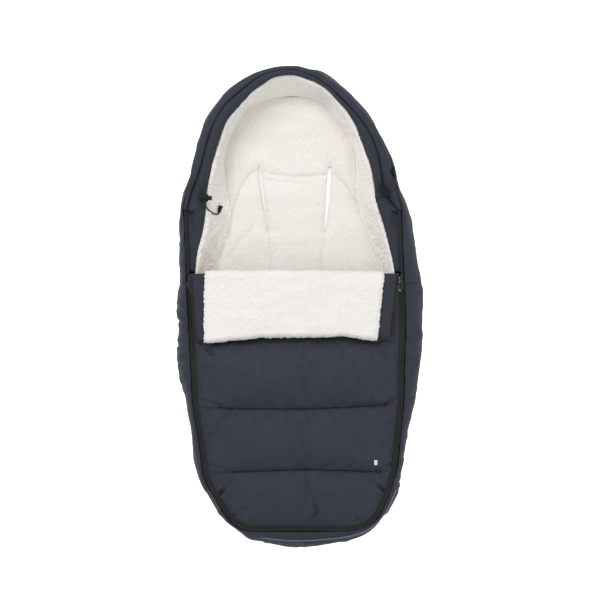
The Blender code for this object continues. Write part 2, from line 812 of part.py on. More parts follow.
def cover_grid():
    """Places in plan: the rows run from the foot to the fold, the columns from left to right."""
    outer_line, inner_line = zip_inset(tape_shown), zip_inset(cover_inner_inset)
    first_y = hinge_y + tape_shown
    left, right = (half_width * share for share in cover_foot_x_shares)
    foot_shares = [blend(*cover_foot_column_shares, share) for share in cover_column_shares]
    foot_row = [(blend(left, right, share), first_y) for share in foot_shares]
    grid = [[(left, first_y)] + foot_row + [(right, first_y)]]
    rows = [hinge_y + cover_inner_inset + gap]
    rows += [hinge_y + cover_length * share for share in cover_row_shares]
    for y in rows:
        left, right = crossings(outer_line, y)
        inner_left, inner_right = crossings(inner_line, y)
        middle = [(blend(inner_left, inner_right, share), y) for share in cover_column_shares]
        grid.append([(left, y)] + middle + [(right, y)])
    return grid


def lifted(grid, height):
    return [[(x, y, height(x, y)) for x, y in line] for line in grid]


def build_cover(cover_pivot):
    grid = cover_grid()
    inner = [line[1:-1] for line in grid[1:]]
    slab("cover_shell", lifted(grid, cover_top),
         lifted(grid, lambda x, y: cover_top(x, y) - shell_thickness), (navy, 0.8), cover_pivot)
    slab("cover_padding", lifted(inner, lambda x, y: cover_top(x, y) - shell_thickness - gap),
         lifted(inner, lambda x, y: cover_lining_top(x, y) + gap), (wadding_white, 0.95), cover_pivot)
    slab("cover_lining", lifted(grid, cover_lining_top),
         lifted(grid, lambda x, y: cover_lining_top(x, y) - fleece_thickness), (cream, 0.95), cover_pivot)
    width, length, thickness = tag_size
    x, y = half_width * tag_shares[0], half_length * tag_shares[1]
    corners = [[(x + width * i, y + length * j) for i in (-0.5, 0.5)] for j in (-0.5, 0.5)]
    slab("label_tag", lifted(corners, lambda x, y: cover_top(x, y) + gap * 2 + thickness),
         lifted(corners, lambda x, y: cover_top(x, y) + gap * 2), (tag_white, 0.6), cover_pivot)


cover_pivot = pivot("cover_pivot", (0, hinge_y, foot_rim_height))
build_zip(cover_pivot)
build_cover(cover_pivot)

# Cuff: the top of the cover folded back on it
cuff_base = rim_height + cover_top_rise + gap / 2
cuff_padding_thickness = 0.0036
cuff_fleece_thickness = 0.0065
cuff_fleece_border_drop = 0.0022
cuff_tape_end = 0.004
facing_overlap = 0.004
cuff_corner_shares = {"left": (-0.871, -0.843), "right": (0.786, 0.730)}
fleece_side_shares = {"left": (-0.766, -0.774), "right": (0.677, 0.625)}
cuff_hem_shares = [(0.0, -0.134), (0.1, -0.137), (0.35, -0.115), (0.75, -0.113), (0.9, -0.129), (1.0, -0.127)]
cuff_row_shares = [0.0, 0.1, 0.5, 0.9, 1.0]
fleece_column_shares = [0.0, 0.05, 0.35, 0.65, 0.95, 1.0]
facing_column_shares = [0.0, 1.0]


def hem_y(share):
    """Lower edge of the cuff at a share of its width."""
    for (a, low), (b, high) in zip(cuff_hem_shares, cuff_hem_shares[1:]):
        if share <= b:
            return half_length * blend(low, high, (share - a) / (b - a))
    return half_length * cuff_hem_shares[-1][1]


def cuff_edge(side, row_share):
    return half_width * blend(*cuff_corner_shares[side], row_share)


def fleece_side(side, row_share):
    return half_width * blend(*fleece_side_shares[side], row_share)


def cuff_layer(name, left, right, heights, columns, finish, parent, row_end=0.0):
    """Layer of the cuff between two sides that are given by row; heights are above its base."""
    def grid(height):
        lines = []
        for j, row_share in enumerate(cuff_row_shares):
            line = []
            for i, share in enumerate(columns):
                x = blend(left(row_share), right(row_share), share)
                across = (x - cuff_edge("left", 0)) / (cuff_edge("right", 0) - cuff_edge("left", 0))
                foot = hem_y(across) + row_end
                border = i in (0, len(columns) - 1) or j in (0, len(cuff_row_shares) - 1)
                line.append((x, blend(fold_y, foot, row_share), cuff_base + height(border)))
            lines.append(line)
        return lines
    bottom, top, border_drop = heights
    slab(name, grid(lambda border: top - border_drop * border), grid(lambda border: bottom), finish, parent)


def build_cuff(cuff_pivot):
    second = shell_thickness + gap
    cuff_layer("cuff_shell", lambda r: cuff_edge("left", r), lambda r: cuff_edge("right", r),
               (0, shell_thickness, 0), fleece_column_shares, (navy, 0.8), cuff_pivot)
    cuff_layer("cuff_padding", lambda r: fleece_side("left", r) + facing_overlap + gap,
               lambda r: fleece_side("right", r) - facing_overlap - gap,
               (second, second + cuff_padding_thickness, 0), facing_column_shares, (wadding_white, 0.95),
               cuff_pivot)
    fleece_foot = second + cuff_padding_thickness + gap
    cuff_layer("cuff_lining", lambda r: fleece_side("left", r), lambda r: fleece_side("right", r),
               (fleece_foot, fleece_foot + cuff_fleece_thickness, cuff_fleece_border_drop),
               fleece_column_shares, (cream, 0.95), cuff_pivot)
    facing_foot = second + tape_thickness + gap
    facing_heights = (facing_foot, facing_foot + shell_thickness, 0)
    tape_heights = (second, second + tape_thickness, 0)
    cuff_layer("cuff_facing_left", lambda r: cuff_edge("left", r) + tape_shown,
               lambda r: fleece_side("left", r) + facing_overlap, facing_heights, facing_column_shares,
               (navy_lining, 0.7), cuff_pivot)
    cuff_layer("cuff_facing_right", lambda r: fleece_side("right", r) - facing_overlap,
               lambda r: cuff_edge("right", r) - tape_shown, facing_heights, facing_column_shares,
               (navy_lining, 0.7), cuff_pivot)
    cuff_layer("cuff_zip_tape_left", lambda r: cuff_edge("left", r),
               lambda r: cuff_edge("left", r) + tape_width, tape_heights, facing_column_shares, (tape_black, 0.8), cuff_pivot, cuff_tape_end)
    cuff_layer("cuff_zip_tape_right", lambda r: cuff_edge("right", r) - tape_width,
               lambda r: cuff_edge("right", r), tape_heights, facing_column_shares, (tape_black, 0.8),
               cuff_pivot, cuff_tape_end)


# Zip sliders, drawn along the teeth line: forwards towards the head, inwards and up
slider_y = 0.044
slider_half_length = 0.007
slider_outer = -0.0048
slider_inner = 0.0055
slider_plate = 0.0012
slider_post = (0.0006, 0.0028)
bridge_half_length = 0.003
bridge_wall = 0.0009
bridge_half_width = 0.0014
bridge_opening = 0.0019
tab_length = 0.022
tab_half_width = 0.0026
tab_thickness = 0.0011
tab_bar_half = 0.0005
tab_clear = 0.0005
tab_ring_inner = 0.0047
stop_length = 0.003
stop_width = 0.0026
stop_height = 0.0012


def box_points(low, high):
    return [(x, y, z) for x in (low[0], high[0]) for y in (low[1], high[1]) for z in (low[2], high[2])]


def add_box(mesh, low, high):
    verts = [mesh.verts.new(point) for point in box_points(low, high)]
    for face in ((0, 1, 3, 2), (4, 6, 7, 5), (0, 4, 5, 1), (2, 3, 7, 6), (0, 2, 6, 4), (1, 5, 7, 3)):
        mesh.faces.new([verts[k] for k in face])


def add_outline(mesh, outline, axis, low, high):
    """Prism over an outline; the axis is the one that the outline leaves out."""
    def place(point, level):
        placed = list(point)
        placed.insert(axis, level)
        return placed
    first = [mesh.verts.new(place(point, low)) for point in outline]
    second = [mesh.verts.new(place(point, high)) for point in outline]
    mesh.faces.new(first)
    mesh.faces.new(second)
    for k in range(len(outline)):
        n = (k + 1) % len(outline)
        mesh.faces.new((first[k], first[n], second[n], second[k]))


def teeth_at(side, y):
    left, right = crossings(zip_line, y)
    return left if side < 0 else right


def zip_frame(side, y):
    """Matrix at a place on the teeth line: forwards, inwards, up."""
    step = slider_half_length
    here = Vector((teeth_at(side, y), y, rim_at(y)))
    ahead = Vector((teeth_at(side, y + step), y + step, rim_at(y + step)))
    forwards = (ahead - here).normalized()
    up = Vector((0, 0, 1))
    inwards = up.cross(forwards) * side
    frame = Matrix((forwards, inwards, up)).transposed().to_4x4()
    frame.translation = here
    return frame


def placed(name, mesh, frame, finish, parent):
    bmesh.ops.transform(mesh, matrix=frame, verts=mesh.verts)
    bmesh.ops.recalc_face_normals(mesh, faces=mesh.faces)
    return add_object(name, mesh, finish, parent)


def slider_body(name, frame, parent):
    """Two plates joined by a post inside the teeth, and a bridge over the upper one."""
    top_foot = gap
    top_height = top_foot + slider_plate
    bottom_top = -coil_drop - coil_radius - gap
    bottom_foot = bottom_top - slider_plate
    mesh = bmesh.new()
    post_start, post_end = slider_post
    section = [(slider_outer, bottom_foot), (slider_inner, bottom_foot), (slider_inner, bottom_top),
               (post_end, bottom_top), (post_end, top_foot), (slider_inner, top_foot),
               (slider_inner, top_height), (slider_outer, top_height), (slider_outer, top_foot),
               (post_start, top_foot), (post_start, bottom_top), (slider_outer, bottom_top)]
    add_outline(mesh, section, 0, -slider_half_length, slider_half_length)
    body = placed(name, mesh, frame, (metal_dark, 0.35, 0.9), parent)
    mesh = bmesh.new()
    inner = bridge_half_length
    outer = inner + bridge_wall
    crown = top_height + bridge_opening
    root = top_foot + slider_plate / 2
    arch = [(-outer, root), (-inner, root), (-inner, crown), (inner, crown), (inner, root), (outer, root),
            (outer, crown), (inner, crown + bridge_wall), (-inner, crown + bridge_wall), (-outer, crown)]
    add_outline(mesh, arch, 1, -bridge_half_width, bridge_half_width)
    bridge = placed(name + "_bridge", mesh, frame, (metal_dark, 0.35, 0.9), None)
    bridge.hide_render = True
    bridge.display_type = "WIRE"
    join = body.modifiers.new("bridge", "BOOLEAN")
    join.operation = "UNION"
    join.solver = "EXACT"
    join.object = bridge
    return body


def tab_centre_height():
    return gap + slider_plate + gap + tab_thickness / 2


def pull_tab(name, frame, parent):
    """Flat tab whose ring runs under the bridge; its bar is the hinge."""
    mesh = bmesh.new()
    centre = tab_centre_height()
    low, high = centre - tab_thickness / 2, centre + tab_thickness / 2
    arm = bridge_half_width + tab_clear
    outline = [(-tab_bar_half, -tab_half_width), (tab_length - tab_half_width, -tab_half_width),
               (tab_length, -tab_half_width / 2), (tab_length, tab_half_width / 2),
               (tab_length - tab_half_width, tab_half_width), (-tab_bar_half, tab_half_width)]
    add_outline(mesh, outline, 2, low, high)
    tab = placed(name, mesh, frame, (metal_dark, 0.35, 0.9), parent)
    mesh = bmesh.new()
    add_box(mesh, (tab_bar_half, -arm, low - tab_thickness), (tab_ring_inner, arm, high + tab_thickness))
    cut(tab, placed(name + "_ring", mesh, frame, (metal_dark, 0.35, 0.9), None))
    return tab


def build_sliders():
    for name, side in (("left", -1), ("right", 1)):
        frame = zip_frame(side, slider_y)
        slider_pivot = pivot("slider_pivot_" + name, frame.translation)
        slider_body("zip_slider_" + name, frame, slider_pivot)
        hinge = frame @ Vector((0, 0, tab_centre_height()))
        tab_pivot = pivot("tab_pivot_" + name, hinge, slider_pivot)
        pull_tab("pull_tab_" + name, frame, tab_pivot)
        end = half_length * hood_share - zip_end_clearance - 2 * stop_length
        mesh = bmesh.new()
        add_box(mesh, (0, -teeth_gap - stop_width, gap), (stop_length, -teeth_gap, gap + stop_height))
        placed("zip_stop_" + name, mesh, zip_frame(side, end), (metal_dark, 0.4, 0.9), None)


cuff_pivot = pivot("cuff_pivot", (0, fold_y, cuff_base - gap / 2), cover_pivot)
build_cuff(cuff_pivot)
build_sliders()

# Drawcord, its eyelets and its two free ends
cord_radius = 0.0015
cord_sides = 8
ring_sides = 16
drawcord_slack = 0.0019
eyelet_foot = 0.0010
eyelet_thickness = 0.0012
eyelet_hole = 0.0020
channel_hole = 0.0022
hole_reach = 0.004
crest_degrees = 90
eyelet_ray_degrees = {"left": 165.6, "right": 10.4}
eyelet_channel_degrees = {"left": 90, "right": 115}
eyelet_radius = {"left": 0.0045, "right": 0.0035}
cord_fan_clear_degrees = 4
left_cord_offsets = [
    (0.00003, 0.00005, -0.00167), (0.00003, -0.00005, 0.00173), (0.00073, -0.00155, 0.00453),
    (0.00273, -0.00515, 0.00633), (0.00573, -0.01015, 0.00613), (0.00793, -0.01315, 0.00553),
    (0.00873, -0.01535, 0.00533), (0.00873, -0.02135, 0.00533), (0.00873, -0.03535, 0.00533),
    (0.00893, -0.03835, 0.00513), (0.01053, -0.04435, 0.00153), (0.01373, -0.04985, -0.00847),
    (0.01823, -0.05385, -0.01997), (0.02323, -0.05705, -0.02997), (0.02873, -0.05855, -0.03747),
    (0.03273, -0.05785, -0.04147), (0.03453, -0.05485, -0.04207), (0.03573, -0.05085, -0.04247),
]
right_cord_offsets = [
    (0.00065, 0.00001, -0.00178), (-0.00055, -0.00009, 0.00152), (-0.00155, -0.00029, 0.00472),
    (-0.00075, 0.00001, 0.00792), (0.00185, 0.00101, 0.00972), (0.00485, 0.00261, 0.00992),
    (0.01135, 0.00641, 0.00992), (0.01745, 0.00991, 0.00992), (0.02285, 0.01321, 0.00992),
    (0.02715, 0.01691, 0.00912), (0.03055, 0.02241, 0.00632), (0.03255, 0.02891, 0.00262),
    (0.03265, 0.03491, 0.00062), (0.03085, 0.03991, 0.00132), (0.02915, 0.04301, 0.00252),
]
cord_end_start_offset = {
    "left": (0.03453, -0.05485, -0.04207),
    "right": (0.03195, 0.03781, 0.00062),
}
cord_end_tip_offset = {
    "left": (0.03853, -0.04135, -0.04347),
    "right": (0.02535, 0.04971, 0.00512),
}
cord_end_length = 0.014
cord_end_bore = 0.0019
cord_end_bore_depth = 0.0065
cord_end_profile = [(0.0030, 0.0), (0.0033, 0.0035), (0.0038, 0.0075), (0.0044, 0.0125), (0.0041, 0.0140)]
cord_end_mouth = [(0.0032, 0.0140), (0.0026, 0.0100)]

# Cord locks: along the cord, along the button and up, measured from the middle of the cord hole
lock_offset = {
    "left": (0.00873, -0.02835, 0.00533),
    "right": (0.01135, 0.00641, 0.00992),
}
lock_cord_turn_degrees = {"left": -90, "right": 30}
lock_half_along = 0.007
lock_half_height = 0.0065
lock_corner = 0.0042
lock_corner_steps = 4
lock_low = -0.0115
lock_high = 0.0065
lock_end_inset = 0.0016
lock_end_share = 0.84
lock_mouth_inset = 0.0008
lock_mouth_share = 0.94
lock_cross_hole = 0.0022
lock_bore = 0.0047
lock_bore_floor = -0.0099
button_radius = 0.0043
button_head_radius = 0.0055
button_head_round = 0.0010
button_press = 0.004
button_slot_low = -0.0018
button_slot_web = 0.0010
button_slot_half = 0.0019
button_head_thickness = 0.0026
spring_radius = 0.0033
spring_wire = 0.0003
spring_turns = 4
spring_points_per_turn = 8

# Piping round the foot
piping_radius = 0.0012
piping_degrees = 60
piping_fan_range = (7, 19)


def channel_spot(ray, degrees, depth=0.0):
    """Place on the drawcord channel in a section, with its outward direction; depth goes under it."""
    outer, inner = ray.reach(band_seam), ray.reach(fleece_edge)
    height = blend(rim_height, crest_seam_height, head_share(ray))
    valley = math.radians(channel_valley_degrees)
    reach = (outer - inner) / (1 + math.cos(valley))
    angle = math.radians(degrees)
    away = Vector((math.cos(angle) / reach, math.sin(angle) / channel_rise)).normalized()
    spot = Vector((inner + reach * (1 + math.cos(angle)),
                   height + channel_rise * (math.sin(angle) - math.sin(valley))))
    return spot - away * depth, away


def eyelet_place(side):
    """Middle of the eyelet, from which the free cord and its lock are set out."""
    ray = head_ray(math.radians(eyelet_ray_degrees[side]))
    spot = channel_spot(ray, eyelet_channel_degrees[side])[0]
    return Vector(ray.point(*spot))


def circle(centre, radius, sides):
    return [(centre[0] + radius * math.cos(math.tau * k / sides),
             centre[1] + radius * math.sin(math.tau * k / sides)) for k in range(sides)]


def axis_frame(origin, axis):
    """Matrix whose upward direction is the axis."""
    frame = axis.normalized().to_track_quat("Z", "Y").to_matrix().to_4x4()
    frame.translation = origin
    return frame


def turned(name, profile, frame, finish, parent, sides=ring_sides):
    """Closed solid turned round the upward axis; the profile holds radii and heights."""
    mesh = bmesh.new()
    rings = []
    for radius, height in profile:
        if radius:
            rings.append([mesh.verts.new((x, y, height)) for x, y in circle((0, 0), radius, sides)])
        else:
            rings.append([mesh.verts.new((0, 0, height))])
    whole = len(rings[0]) > 1
    following = rings[1:] + rings[:1] if whole else rings[1:]
    for here, there in zip(rings, following):
        for k in range(sides):
            n = (k + 1) % sides
            corners = [here[k % len(here)], here[n % len(here)], there[n % len(there)], there[k % len(there)]]
            mesh.faces.new(list(dict.fromkeys(corners)))
    return placed(name, mesh, frame, finish, parent)


def cylinder(name, frame, radius, low, high, finish=(plastic_dark, 0.5)):
    return turned(name, [(0, low), (radius, low), (radius, high), (0, high)], frame, finish, None)


def tube(name, points, radius, finish, parent=None, resolution=2):
    """Round cord through points read from a smooth route."""
    curve = bpy.data.curves.new(name, "CURVE")
    curve.dimensions = "3D"
    curve.bevel_depth = radius
    curve.bevel_resolution = resolution
    curve.use_fill_caps = True
    spline = curve.splines.new("POLY")
    spline.points.add(len(points) - 1)
    for point, place in zip(spline.points, points):
        point.co = (*place, 1.0)
    curve.materials.append(material(name, *finish))
    obj = bpy.data.objects.new(name, curve)
    bpy.context.scene.collection.objects.link(obj)
    carry(obj, parent)
    return obj


def build_drawcord():
    cord_finish = (cord_dark, 0.85)
    depth = shell_thickness + drawcord_slack + cord_radius
    sections = []
    clear = cord_fan_clear_degrees
    fan = [180 * k / head_fan_steps for k in range(head_fan_steps + 1)]
    low, high = eyelet_ray_degrees["right"], eyelet_ray_degrees["left"]
    turns = [(low, eyelet_channel_degrees["right"])]
    turns += [(angle, crest_degrees) for angle in fan if low + clear < angle < high - clear]
    turns += [(high, eyelet_channel_degrees["left"])]
    for ray_degrees, degrees in turns:
        ray = head_ray(math.radians(ray_degrees))
        spot = channel_spot(ray, degrees, depth)[0]
        sections.append(in_space(ray, circle(spot, cord_radius, cord_sides)))
    loft("drawcord", sections, cord_finish, doubled=False)
    channel = bpy.data.objects["drawcord_channel"]
    for side, offsets in (("left", left_cord_offsets), ("right", right_cord_offsets)):
        ray = head_ray(math.radians(eyelet_ray_degrees[side]))
        spot, away = channel_spot(ray, eyelet_channel_degrees[side])
        axis = Vector((ray.along[0] * away[0], ray.along[1] * away[0], away[1]))
        frame = axis_frame(Vector(ray.point(*spot)), axis)
        outer = eyelet_radius[side]
        low, high = eyelet_foot, eyelet_foot + eyelet_thickness
        turned("eyelet_" + side, [(eyelet_hole, low), (outer, low), (outer, high), (eyelet_hole, high)],
               frame, (metal_dark, 0.35, 0.9), None)
        cut(channel, cylinder("eyelet_cutter_" + side, frame, channel_hole, -hole_reach, hole_reach))
        place = eyelet_place(side)
        points = [tuple(place + Vector(away)) for away in offsets]
        tube("free_cord_" + side, smooth_line(points, steps=2), cord_radius, cord_finish)
        start = place + Vector(cord_end_start_offset[side])
        tip = place + Vector(cord_end_tip_offset[side])
        profile = [(0, cord_end_bore_depth), (cord_end_bore, cord_end_bore_depth), (cord_end_bore, 0)]
        profile += cord_end_profile + cord_end_mouth + [(0, cord_end_mouth[-1][1])]
        turned("cord_end_" + side, profile, axis_frame(start, tip - start),
               (plastic_dark, 0.45), None)


def rounded_outline(half_across, half_high, corner, steps):
    outline = []
    for quarter, (across, high) in enumerate(((1, 1), (-1, 1), (-1, -1), (1, -1))):
        centre = (across * (half_across - corner), high * (half_high - corner))
        outline += arc(centre, corner, corner, 90 * quarter, 90 * (quarter + 1), steps)
    return outline


def build_locks():
    black = (plastic_dark, 0.45)
    for side, offset_from_eyelet in lock_offset.items():
        centre = eyelet_place(side) + Vector(offset_from_eyelet)
        turn = math.radians(lock_cord_turn_degrees[side])
        along = Vector((math.cos(turn), math.sin(turn), 0))
        up = Vector((0, 0, 1))
        outwards = up.cross(along)
        frame = Matrix((along, up, outwards)).transposed().to_4x4()
        frame.translation = Vector(centre)
        lock_pivot = pivot("lock_pivot_" + side, centre)
        outline = rounded_outline(lock_half_along, lock_half_height, lock_corner, lock_corner_steps)
        levels = [(lock_low, lock_end_share), (lock_low + lock_end_inset, 1),
                  (lock_high - lock_mouth_inset, 1), (lock_high, lock_mouth_share)]
        sections = [[frame @ Vector((a * share, n * share, level)) for a, n in outline]
                    for level, share in levels]
        body = loft("cord_lock_" + side, sections, black, parent=lock_pivot, doubled=False)
        cut(body, cylinder("lock_bore_" + side, frame, lock_bore, lock_bore_floor, 2 * lock_high))
        cut(body, cylinder("lock_hole_" + side, axis_frame(Vector(centre), along), lock_cross_hole,
                           -2 * lock_half_along, 2 * lock_half_along))
        button_pivot = pivot("button_pivot_" + side, centre, lock_pivot)
        foot = button_slot_low - button_slot_web
        head = lock_high + gap + button_press
        profile = [(0, foot), (button_radius, foot), (button_radius, head), (button_head_radius, head),
                   (button_head_radius, head + button_head_thickness - button_head_round),
                   (button_head_radius - button_head_round, head + button_head_thickness),
                   (0, head + button_head_thickness)]
        button = turned("lock_button_" + side, profile, frame, (plastic_dark, 0.4), button_pivot)
        mesh = bmesh.new()
        add_box(mesh, (-2 * button_radius, -button_slot_half, button_slot_low),
                (2 * button_radius, button_slot_half, button_press - button_slot_low))
        cut(button, placed("button_slot_" + side, mesh, frame, black, None))
        low = lock_bore_floor + spring_wire + gap
        high = foot - spring_wire - gap
        steps = spring_turns * spring_points_per_turn
        coil = [frame @ Vector((spring_radius * math.cos(math.tau * k / spring_points_per_turn),
                                spring_radius * math.sin(math.tau * k / spring_points_per_turn),
                                blend(low, high, k / steps))) for k in range(steps + 1)]
        tube("lock_spring_" + side, coil, spring_wire, (steel, 0.3, 1.0), lock_pivot, resolution=0)


def build_piping():
    first, last = piping_fan_range
    sections = []
    for ray in foot_fan()[first:last]:
        side, edge = ray.reach(silhouette), ray.reach(zip_line) + tape_shown
        middle = mid_height(ray)
        across = side - edge
        high = rim_at(ray.y_at(edge)) + edge_lift + shell_thickness - middle
        clear = piping_radius + gap
        centre = arc((edge, middle), across + clear, high + clear, piping_degrees, piping_degrees, 1)[0]
        sections.append(in_space(ray, circle(centre, piping_radius, cord_sides)))
    loft("reflective_piping", sections, (pale_trim, 0.5), doubled=False)


build_drawcord()
build_locks()
build_piping()
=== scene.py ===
"""Looks of a stroller footmuff lying on its back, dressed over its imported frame."""

import math

import bpy
import numpy as np
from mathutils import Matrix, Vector, noise


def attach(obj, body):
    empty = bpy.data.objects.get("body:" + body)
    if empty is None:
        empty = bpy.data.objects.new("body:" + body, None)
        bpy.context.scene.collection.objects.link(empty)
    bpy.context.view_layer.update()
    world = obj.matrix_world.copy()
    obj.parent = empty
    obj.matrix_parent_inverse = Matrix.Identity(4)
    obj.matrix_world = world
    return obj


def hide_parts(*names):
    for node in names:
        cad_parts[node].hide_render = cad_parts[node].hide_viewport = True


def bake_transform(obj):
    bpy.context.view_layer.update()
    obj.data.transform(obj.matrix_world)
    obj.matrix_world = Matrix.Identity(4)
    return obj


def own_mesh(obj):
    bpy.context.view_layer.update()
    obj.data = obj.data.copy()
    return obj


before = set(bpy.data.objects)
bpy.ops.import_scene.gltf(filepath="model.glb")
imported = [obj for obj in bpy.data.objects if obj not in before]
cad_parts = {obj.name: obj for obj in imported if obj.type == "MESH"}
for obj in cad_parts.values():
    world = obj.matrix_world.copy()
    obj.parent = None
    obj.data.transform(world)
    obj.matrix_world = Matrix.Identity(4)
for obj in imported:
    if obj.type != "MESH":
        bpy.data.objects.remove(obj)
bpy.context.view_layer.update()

# Whole muff
half_length = 0.480
half_width = 0.248
gap = 0.0004

# Heights above the ground
rim_height = 0.086
foot_rim_height = 0.072
side_height = 0.042
head_side_height = 0.046
crest_seam_height = 0.106
outer_seam_height = 0.086
rim_start_share = -0.92
rim_end_share = -0.16

# Fabric and wadding
shell_thickness = 0.002
fleece_thickness = 0.0045
back_fleece_thickness = 0.006
back_padding_thickness = 0.0115
tuck_width = 0.025

# Rolls of the hood
channel_rise = 0.009
channel_valley_degrees = 30
facing_drop = 0.0065
facing_tuck = 0.008
facing_rise = 0.005

# Zip
tape_thickness = 0.0012
tape_shown = 0.0065
zip_end_clearance = 0.0015
cover_tape_end = 0.033
coil_drop = 0.0025
tape_width = 0.011
tape_edge_gap = 0.0016
edge_lift = 0.0010
teeth_gap = 0.0003

# Places along the muff
hood_share = 0.408
fold_share = 0.129
gusset_seam_share = 0.102
head_centre_share = hood_share
foot_centre_share = -0.625
foot_fan_steps = 20
curve_steps = 8

# Plan lines, as shares of the half width and the half length
silhouette_shares = [
    (1.0, 0.02), (0.984, 0.1125), (0.944, 0.2375), (0.903, 0.3625), (0.855, 0.446), (0.79, 0.529),
    (0.75, 0.6125), (0.677, 0.696), (0.589, 0.779), (0.508, 0.8375), (0.423, 0.8875),
    (0.315, 0.9375), (0.218, 0.971), (0.129, 0.991), (-0.081, 1.002), (-0.29, 0.9875),
    (-0.46, 0.954), (-0.589, 0.904), (-0.694, 0.8375), (-0.766, 0.779), (-0.823, 0.696),
    (-0.863, 0.6125), (-0.903, 0.529), (-0.952, 0.446), (-0.968, 0.3625), (-0.976, 0.2375),
    (-0.972, 0.1125), (-1.0, 0.0), (-0.984, -0.09), (-0.992, -0.2), (-0.968, -0.304),
    (-0.919, -0.3875), (-0.887, -0.5125), (-0.857, -0.6375), (-0.81, -0.721), (-0.722, -0.804),
    (-0.636, -0.868), (-0.496, -0.931), (-0.371, -0.971), (-0.161, -0.997), (0.06, -0.9989),
    (0.274, -0.984), (0.42, -0.968), (0.54, -0.94), (0.635, -0.903), (0.722, -0.846),
    (0.786, -0.783), (0.817, -0.71), (0.855, -0.596), (0.871, -0.5125), (0.911, -0.429),
    (0.944, -0.346), (0.976, -0.221), (0.992, -0.096),
]
zip_shares = [
    (-0.911, 0.408), (-0.9063, 0.354), (-0.8962, 0.2375), (-0.8842, 0.1), (-0.8781, 0.03),
    (-0.8737, -0.02), (-0.868, -0.095),
    (-0.855, -0.221), (-0.835, -0.4125), (-0.79, -0.546), (-0.765, -0.6625), (-0.733, -0.721),
    (-0.67, -0.779), (-0.603, -0.836), (-0.53, -0.884), (-0.455, -0.91), (-0.387, -0.9167),
    (-0.2, -0.9167), (0.0, -0.9167), (0.2, -0.9167), (0.347, -0.9167), (0.44, -0.9137),
    (0.52, -0.902), (0.605, -0.865), (0.665, -0.808), (0.71, -0.75), (0.75, -0.679),
    (0.77, -0.604), (0.794, -0.4875), (0.809, -0.3875), (0.817, -0.196), (0.8215, -0.1),
    (0.8220, -0.02), (0.8182, 0.03), (0.8130, 0.1), (0.8027, 0.2375), (0.7940, 0.354),
    (0.79, 0.408),
]
outer_seam_shares = [
    (0.817, 0.408), (0.77, 0.508), (0.742, 0.578), (0.681, 0.667), (0.587, 0.76), (0.434, 0.856),
    (0.353, 0.902), (0.177, 0.964), (0.065, 0.983), (-0.081, 0.9917), (-0.282, 0.977),
    (-0.449, 0.945), (-0.576, 0.896), (-0.677, 0.831), (-0.749, 0.773), (-0.804, 0.692),
    (-0.8435, 0.608), (-0.884, 0.529), (-0.917, 0.467), (-0.939, 0.408),
]
band_seam_shares = [
    (0.79, 0.408), (0.71, 0.454), (0.6645, 0.5125), (0.634, 0.61), (0.571, 0.707),
    (0.492, 0.771), (0.3685, 0.844), (0.197, 0.925), (0.024, 0.972), (-0.081, 0.982),
    (-0.1935, 0.976), (-0.318, 0.955), (-0.4597, 0.9), (-0.598, 0.836), (-0.6935, 0.754),
    (-0.747, 0.675), (-0.794, 0.579), (-0.831, 0.529), (-0.871, 0.475), (-0.911, 0.408),
]
fleece_edge_shares = [
    (0.762, 0.12), (0.766, 0.154), (0.726, 0.2375), (0.685, 0.321), (0.649, 0.383),
    (0.613, 0.446), (0.593, 0.508), (0.573, 0.571), (0.548, 0.6125), (0.516, 0.654),
    (0.461, 0.734), (0.420, 0.774), (0.366, 0.816), (0.303, 0.849), (0.216, 0.899),
    (0.128, 0.931), (0.032, 0.95), (-0.081, 0.961), (-0.21, 0.949), (-0.306, 0.919),
    (-0.387, 0.8875), (-0.452, 0.854), (-0.508, 0.821), (-0.573, 0.779), (-0.613, 0.7375),
    (-0.669, 0.654), (-0.718, 0.571), (-0.746, 0.4875), (-0.758, 0.404), (-0.782, 0.321),
    (-0.823, 0.2375), (-0.843, 0.154), (-0.845, 0.12),
]
crease_shares = [
    (0.66, 0.154), (0.58, 0.279), (0.49, 0.396), (0.45, 0.4875), (0.455, 0.596), (0.425, 0.683),
    (0.323, 0.771), (0.242, 0.829), (0.153, 0.872), (0.0, 0.888), (-0.145, 0.887),
    (-0.298, 0.868), (-0.4435, 0.822), (-0.57, 0.708), (-0.61, 0.62), (-0.597, 0.504),
    (-0.56, 0.396), (-0.63, 0.279), (-0.70, 0.154), (-0.73, -0.0125), (-0.73, -0.221),
    (-0.694, -0.471), (-0.637, -0.646), (-0.532, -0.771), (-0.355, -0.8375), (0.0, -0.854),
    (0.403, -0.8375), (0.548, -0.7625), (0.629, -0.617), (0.669, -0.43), (0.685, -0.22),
    (0.694, 0.03),
]


def blend(first, second, share):
    return first + (second - first) * share


def ease(share):
    share = min(max(share, 0.0), 1.0)
    return share * share * (3 - 2 * share)


def in_plan(shares):
    return [(half_width * x, half_length * y) for x, y in shares]


def smooth_line(points, closed=False, steps=curve_steps):
    """Catmull-Rom curve through the points, in as many dimensions as they have."""
    count = len(points)
    line = []
    for i in range(count if closed else count - 1):
        if closed:
            around = [points[(i + k) % count] for k in (-1, 0, 1, 2)]
        else:
            around = [points[min(max(i + k, 0), count - 1)] for k in (-1, 0, 1, 2)]
        for step in range(steps):
            t = step / steps
            weights = (
                -0.5 * t + t * t - 0.5 * t ** 3,
                1 - 2.5 * t * t + 1.5 * t ** 3,
                0.5 * t + 2 * t * t - 1.5 * t ** 3,
                -0.5 * t * t + 0.5 * t ** 3,
            )
            line.append(tuple(sum(w * p[k] for w, p in zip(weights, around))
                              for k in range(len(points[0]))))
    line.append(tuple(points[0] if closed else points[-1]))
    return line


